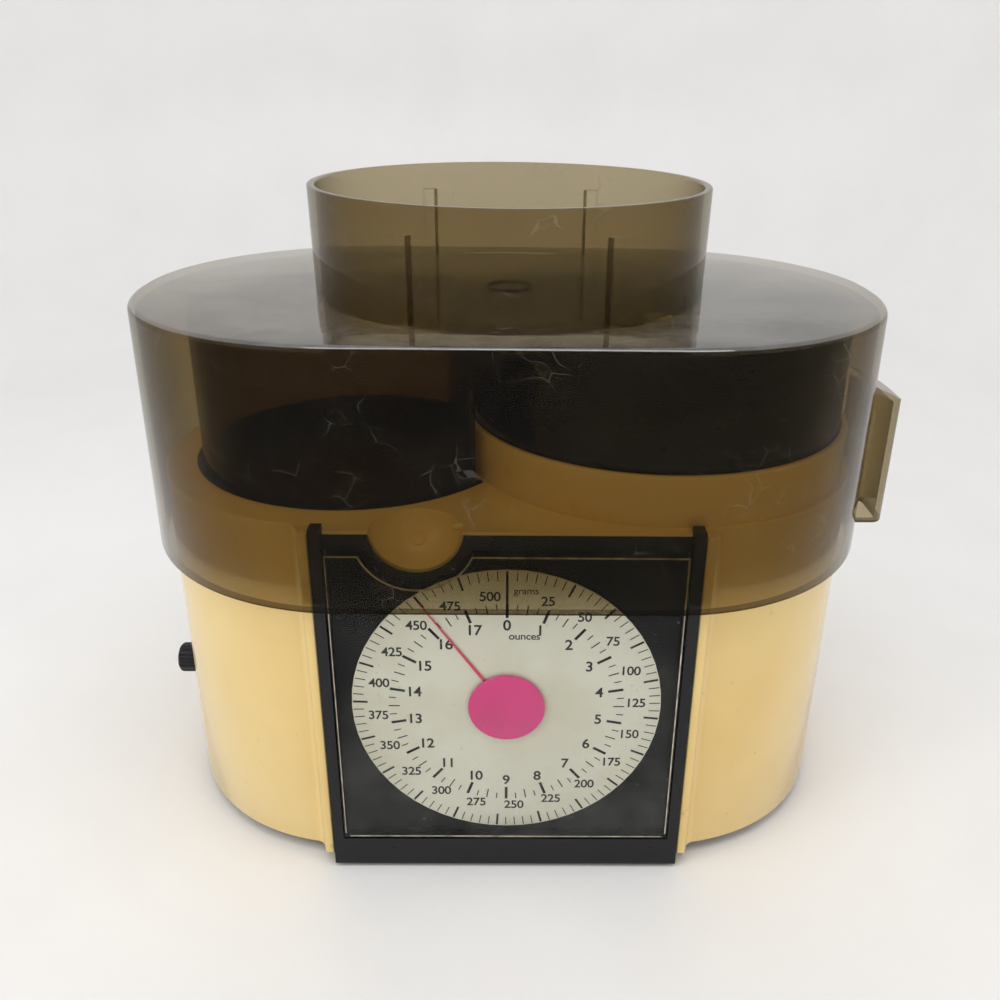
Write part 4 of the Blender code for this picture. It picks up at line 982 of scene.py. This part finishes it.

# Painted highlights: the light that the pane's sawn edges catch is painted as
# fine pale strips laid on the pane: one along the top, dipping round the finger
# scoop, and one down each side.
notch_radius = 0.0189
edge_top = window_high.z - 0.0004
# Painted highlight: a pale colour, brighter in some places and dimmer in others, stands for the light the edges
# catch.
painted_edge_highlight = paint("painted_edge_highlight", (0.50, 0.45, 0.35), 0.45)
uneven_highlight = speckle(painted_edge_highlight, object_place(painted_edge_highlight), 240.0, 3.0, 0.35, 0.7)
coloured(painted_edge_highlight, between(painted_edge_highlight, uneven_highlight, (0.62, 0.56, 0.44), (0.20, 0.17, 0.12)))


# One strip of painted highlight, laid just in front of the pane.
def edge_strip(x_low, x_high, z_low, z_high):
    fresh()
    bpy.ops.mesh.primitive_cube_add(
        size=1.0, location=((x_low + x_high) / 2, window_low.y - 0.00012, (z_low + z_high) / 2),
    )
    bpy.ops.transform.resize(value=(x_high - x_low, 0.00016, z_high - z_low))
    return set_down(bpy.context.object, "strip")


drop = scoop_z - edge_top
notch_half = math.sqrt(notch_radius**2 - drop**2)
highlight_strips = [
    edge_strip(window_low.x + 0.0006, scoop_x - notch_half, edge_top - 0.0005, edge_top),
    edge_strip(scoop_x + notch_half, window_high.x - 0.0006, edge_top - 0.0005, edge_top),
    edge_strip(window_low.x + 0.0005, window_low.x + 0.0008, window_low.z + 0.002, edge_top),
    edge_strip(window_high.x - 0.0009, window_high.x - 0.0005, window_low.z + 0.002, edge_top),
    edge_strip(window_low.x + 0.002, window_high.x - 0.002, window_low.z + 0.0006, window_low.z + 0.0009),
]
fresh()
bpy.ops.mesh.primitive_circle_add(
    vertices=120, radius=notch_radius + 0.0004, fill_type="NGON",
    location=(scoop_x, window_low.y - 0.0002, scoop_z), rotation=(math.radians(90.0), 0.0, 0.0),
)
arc_highlight = set_down(bpy.context.object, "arc")
bpy.ops.object.mode_set(mode="EDIT")
bpy.ops.mesh.select_all(action="SELECT")
bpy.ops.mesh.inset(thickness=0.0006)
bpy.ops.mesh.delete(type="FACE")
bpy.ops.mesh.select_all(action="SELECT")
bpy.ops.mesh.bisect(plane_co=(scoop_x, 0.0, edge_top), plane_no=(0.0, 0.0, 1.0), clear_outer=True)
object_mode()
thick = arc_highlight.modifiers.new("thickness", "SOLIDIFY")
thick.thickness = 0.00016
hold(arc_highlight)
bpy.ops.object.modifier_apply(modifier="thickness")
# The painted highlight strips are joined into one piece.
hold(*highlight_strips, arc_highlight)
bpy.ops.object.join()
finish(bpy.context.object, "pane_edge_highlights", painted_edge_highlight, "base")

# ------------------------------------------------------------------ marks in the finger scoop
# The scoop shows the ring left by its ejector pin and, at its right edge, a
# scrap of flash where two halves of the mould met.

fresh()
bpy.ops.mesh.primitive_torus_add(
    location=(scoop_x - 0.0005, housing_low.y, scoop_z), major_radius=0.0024, minor_radius=0.00018,
    major_segments=40, minor_segments=8, rotation=(math.radians(52.0), 0.0, 0.0),
)
mark = bpy.context.object
mark_slope = math.radians(38.0)
mark_reach = 0.0139
mark.location = (
    scoop_x - 0.0003, -0.0695 + mark_reach * math.cos(mark_slope), scoop_z - mark_reach * math.sin(mark_slope),
)
finish(mark, "ejector_mark", cream_plastic, "base")
fresh()
bpy.ops.mesh.primitive_uv_sphere_add(
    segments=24, ring_count=14, radius=0.0017, location=(scoop_x + 0.0124, -0.0668, scoop_z - 0.0006),
)
bpy.ops.transform.resize(value=(1.2, 0.9, 0.75))
flash = set_down(bpy.context.object, "flash")
pick(flash, "VERT", lambda at: at.x > scoop_x + 0.0132)
bpy.ops.transform.translate(value=(0.0006, -0.0005, 0.0002))
object_mode()
smooth(flash, 60.0)
finish(flash, "flash_scrap", cream_plastic, "base")

# ------------------------------------------------------------------ zeroing knob
# A black fluted knob pushed on to the adjuster's shaft at the left end; ten
# hollow flutes round it give the fingertips a grip.

knob_low, knob_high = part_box("zero_knob")
knob_z = (knob_low.z + knob_high.z) / 2
knob_radius = (knob_high.z - knob_low.z) / 2
fresh()
bpy.ops.mesh.primitive_cylinder_add(
    vertices=120, radius=knob_radius, depth=knob_high.x - knob_low.x, end_fill_type="NGON",
    location=((knob_low.x + knob_high.x) / 2, 0.0, knob_z), rotation=(0.0, math.radians(90.0), 0.0),
)
knob = set_down(bpy.context.object, "knob")
soften(knob, lambda a, b: abs(a.x - knob_low.x) < 1e-5 and abs(b.x - knob_low.x) < 1e-5, 0.0016, 5)
flutes = 10
flute_reach = knob_radius + 0.00085
for flute in range(flutes):
    turn = math.radians(360.0 / flutes * flute)
    fresh()
    bpy.ops.mesh.primitive_cylinder_add(
        vertices=32, radius=0.0016, depth=0.02,
        location=(knob_low.x, flute_reach * math.cos(turn), knob_z + flute_reach * math.sin(turn)),
        rotation=(0.0, math.radians(90.0), 0.0),
    )
    fuse(knob, set_down(bpy.context.object, "flute"), "DIFFERENCE")
fresh()
bpy.ops.mesh.primitive_cylinder_add(
    vertices=48, radius=0.0024, depth=0.0064, location=(knob_high.x - 0.0030, 0.0, knob_z),
    rotation=(0.0, math.radians(90.0), 0.0),
)
fuse(knob, set_down(bpy.context.object, "bore"), "DIFFERENCE")
smooth(knob, 38.0)
finish(knob, "fluted_knob", black_plastic, "zero_adjuster")
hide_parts("zero_knob")

# ------------------------------------------------------------------ working parts
# Steel shafts and screws, brass rack and pinions, a zinc-plated motor
# can, white acetal wheels, rubber feet and a red interlock pin.

steel = paint("bright_steel", (0.62, 0.63, 0.65), 0.3, Metallic=1.0)
brushing = speckle(steel, object_place(steel, (4.0, 4.0, 0.4)), 300.0, 4.0, 0.3, 0.7)
polished(steel, between(steel, brushing, 0.22, 0.42))
relief(steel, brushing, 0.00001)
brass = paint("machined_brass", (0.72, 0.52, 0.22), 0.3, Metallic=1.0)
tarnish = speckle(brass, object_place(brass), 160.0, 5.0, 0.4, 0.7)
coloured(brass, between(brass, tarnish, (0.74, 0.54, 0.23), (0.45, 0.31, 0.13)))
zinc = paint("zinc_plate", (0.55, 0.56, 0.58), 0.4, Metallic=1.0)
spangle = add(zinc, "ShaderNodeTexVoronoi")
spangle.inputs["Scale"].default_value = 260.0
wire(zinc, (object_place(zinc), spangle.inputs["Vector"]))
coloured(zinc, between(zinc, spangle.outputs["Distance"], (0.60, 0.61, 0.63), (0.44, 0.45, 0.48)))
acetal = paint("white_acetal", (0.80, 0.78, 0.72), 0.45)
grease = speckle(acetal, object_place(acetal), 90.0, 4.0, 0.5, 0.8)
coloured(acetal, between(acetal, grease, (0.80, 0.78, 0.72), (0.60, 0.55, 0.43)))
rubber = paint("black_rubber", (0.014, 0.014, 0.015), 0.75)
bloom = speckle(rubber, object_place(rubber), 240.0, 5.0, 0.45, 0.75)
coloured(rubber, between(rubber, bloom, (0.012, 0.012, 0.013), (0.06, 0.058, 0.055)))
relief(rubber, bloom, 0.00005)
pin_red = paint("pin_red", (0.55, 0.04, 0.03), 0.35)
rubbed = speckle(pin_red, object_place(pin_red), 300.0, 3.0, 0.5, 0.75)
coloured(pin_red, between(pin_red, rubbed, (0.56, 0.04, 0.03), (0.36, 0.03, 0.025)))
dress(steel, "needle_shaft", "platform_stem", "carriage_arm", "zero_shaft", "motor_shaft")
dress(steel, "drive_spindle", "slicing_blade", "base_screw_1", "base_screw_2", "base_screw_3", "base_screw_4")
dress(brass, "needle_pinion", "rack", "motor_pinion")
dress(zinc, "motor_can", "motor_bracket")
dress(acetal, "spring_seat", "drive_wheel", "disc_hub")
dress(rubber, "foot_front_left", "foot_front_right", "foot_rear_left", "foot_rear_right", "cord_gland")
dress(pin_red, "interlock_button")

# ------------------------------------------------------------------ scale spring
# The bowl's weight presses on a coil spring of steel wire, wound six turns.
# It stands on a white plastic seat, and the carriage arm above closes it up
# as the platform goes down.

spring_low, spring_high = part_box("scale_spring")
spring_wire = 0.0007
spring_turns = 6
spring_radius = (spring_high.x - spring_low.x) / 2 - spring_wire
fresh()
bpy.ops.mesh.primitive_circle_add(
    vertices=14, radius=spring_wire * 0.97,
    location=((spring_low.x + spring_high.x) / 2, 0.0, spring_low.z + spring_wire),
)
spring = bpy.context.object
bpy.ops.object.mode_set(mode="EDIT")
bpy.ops.mesh.select_all(action="SELECT")
for point in bmesh.from_edit_mesh(spring.data).verts:
    point.co = (spring_radius + point.co.x, 0.0, point.co.y)
bmesh.update_edit_mesh(spring.data)
object_mode()
winding = spring.modifiers.new("winding", "SCREW")
winding.angle = math.radians(360.0 * spring_turns)
winding.screw_offset = spring_high.z - spring_low.z - 2 * spring_wire
winding.steps = 40 * spring_turns
winding.render_steps = 40 * spring_turns
hold(spring)
bpy.ops.object.modifier_apply(modifier="winding")
bpy.ops.object.mode_set(mode="EDIT")
bpy.ops.mesh.select_all(action="SELECT")
bpy.ops.mesh.fill_holes(sides=0)
bpy.ops.mesh.select_all(action="SELECT")
bpy.ops.mesh.normals_make_consistent(inside=False)
object_mode()
smooth(spring, 50.0)
set_down(spring, "coil_spring")
spring.data.materials.clear()
spring.data.materials.append(steel)
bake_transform(spring)
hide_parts("scale_spring")
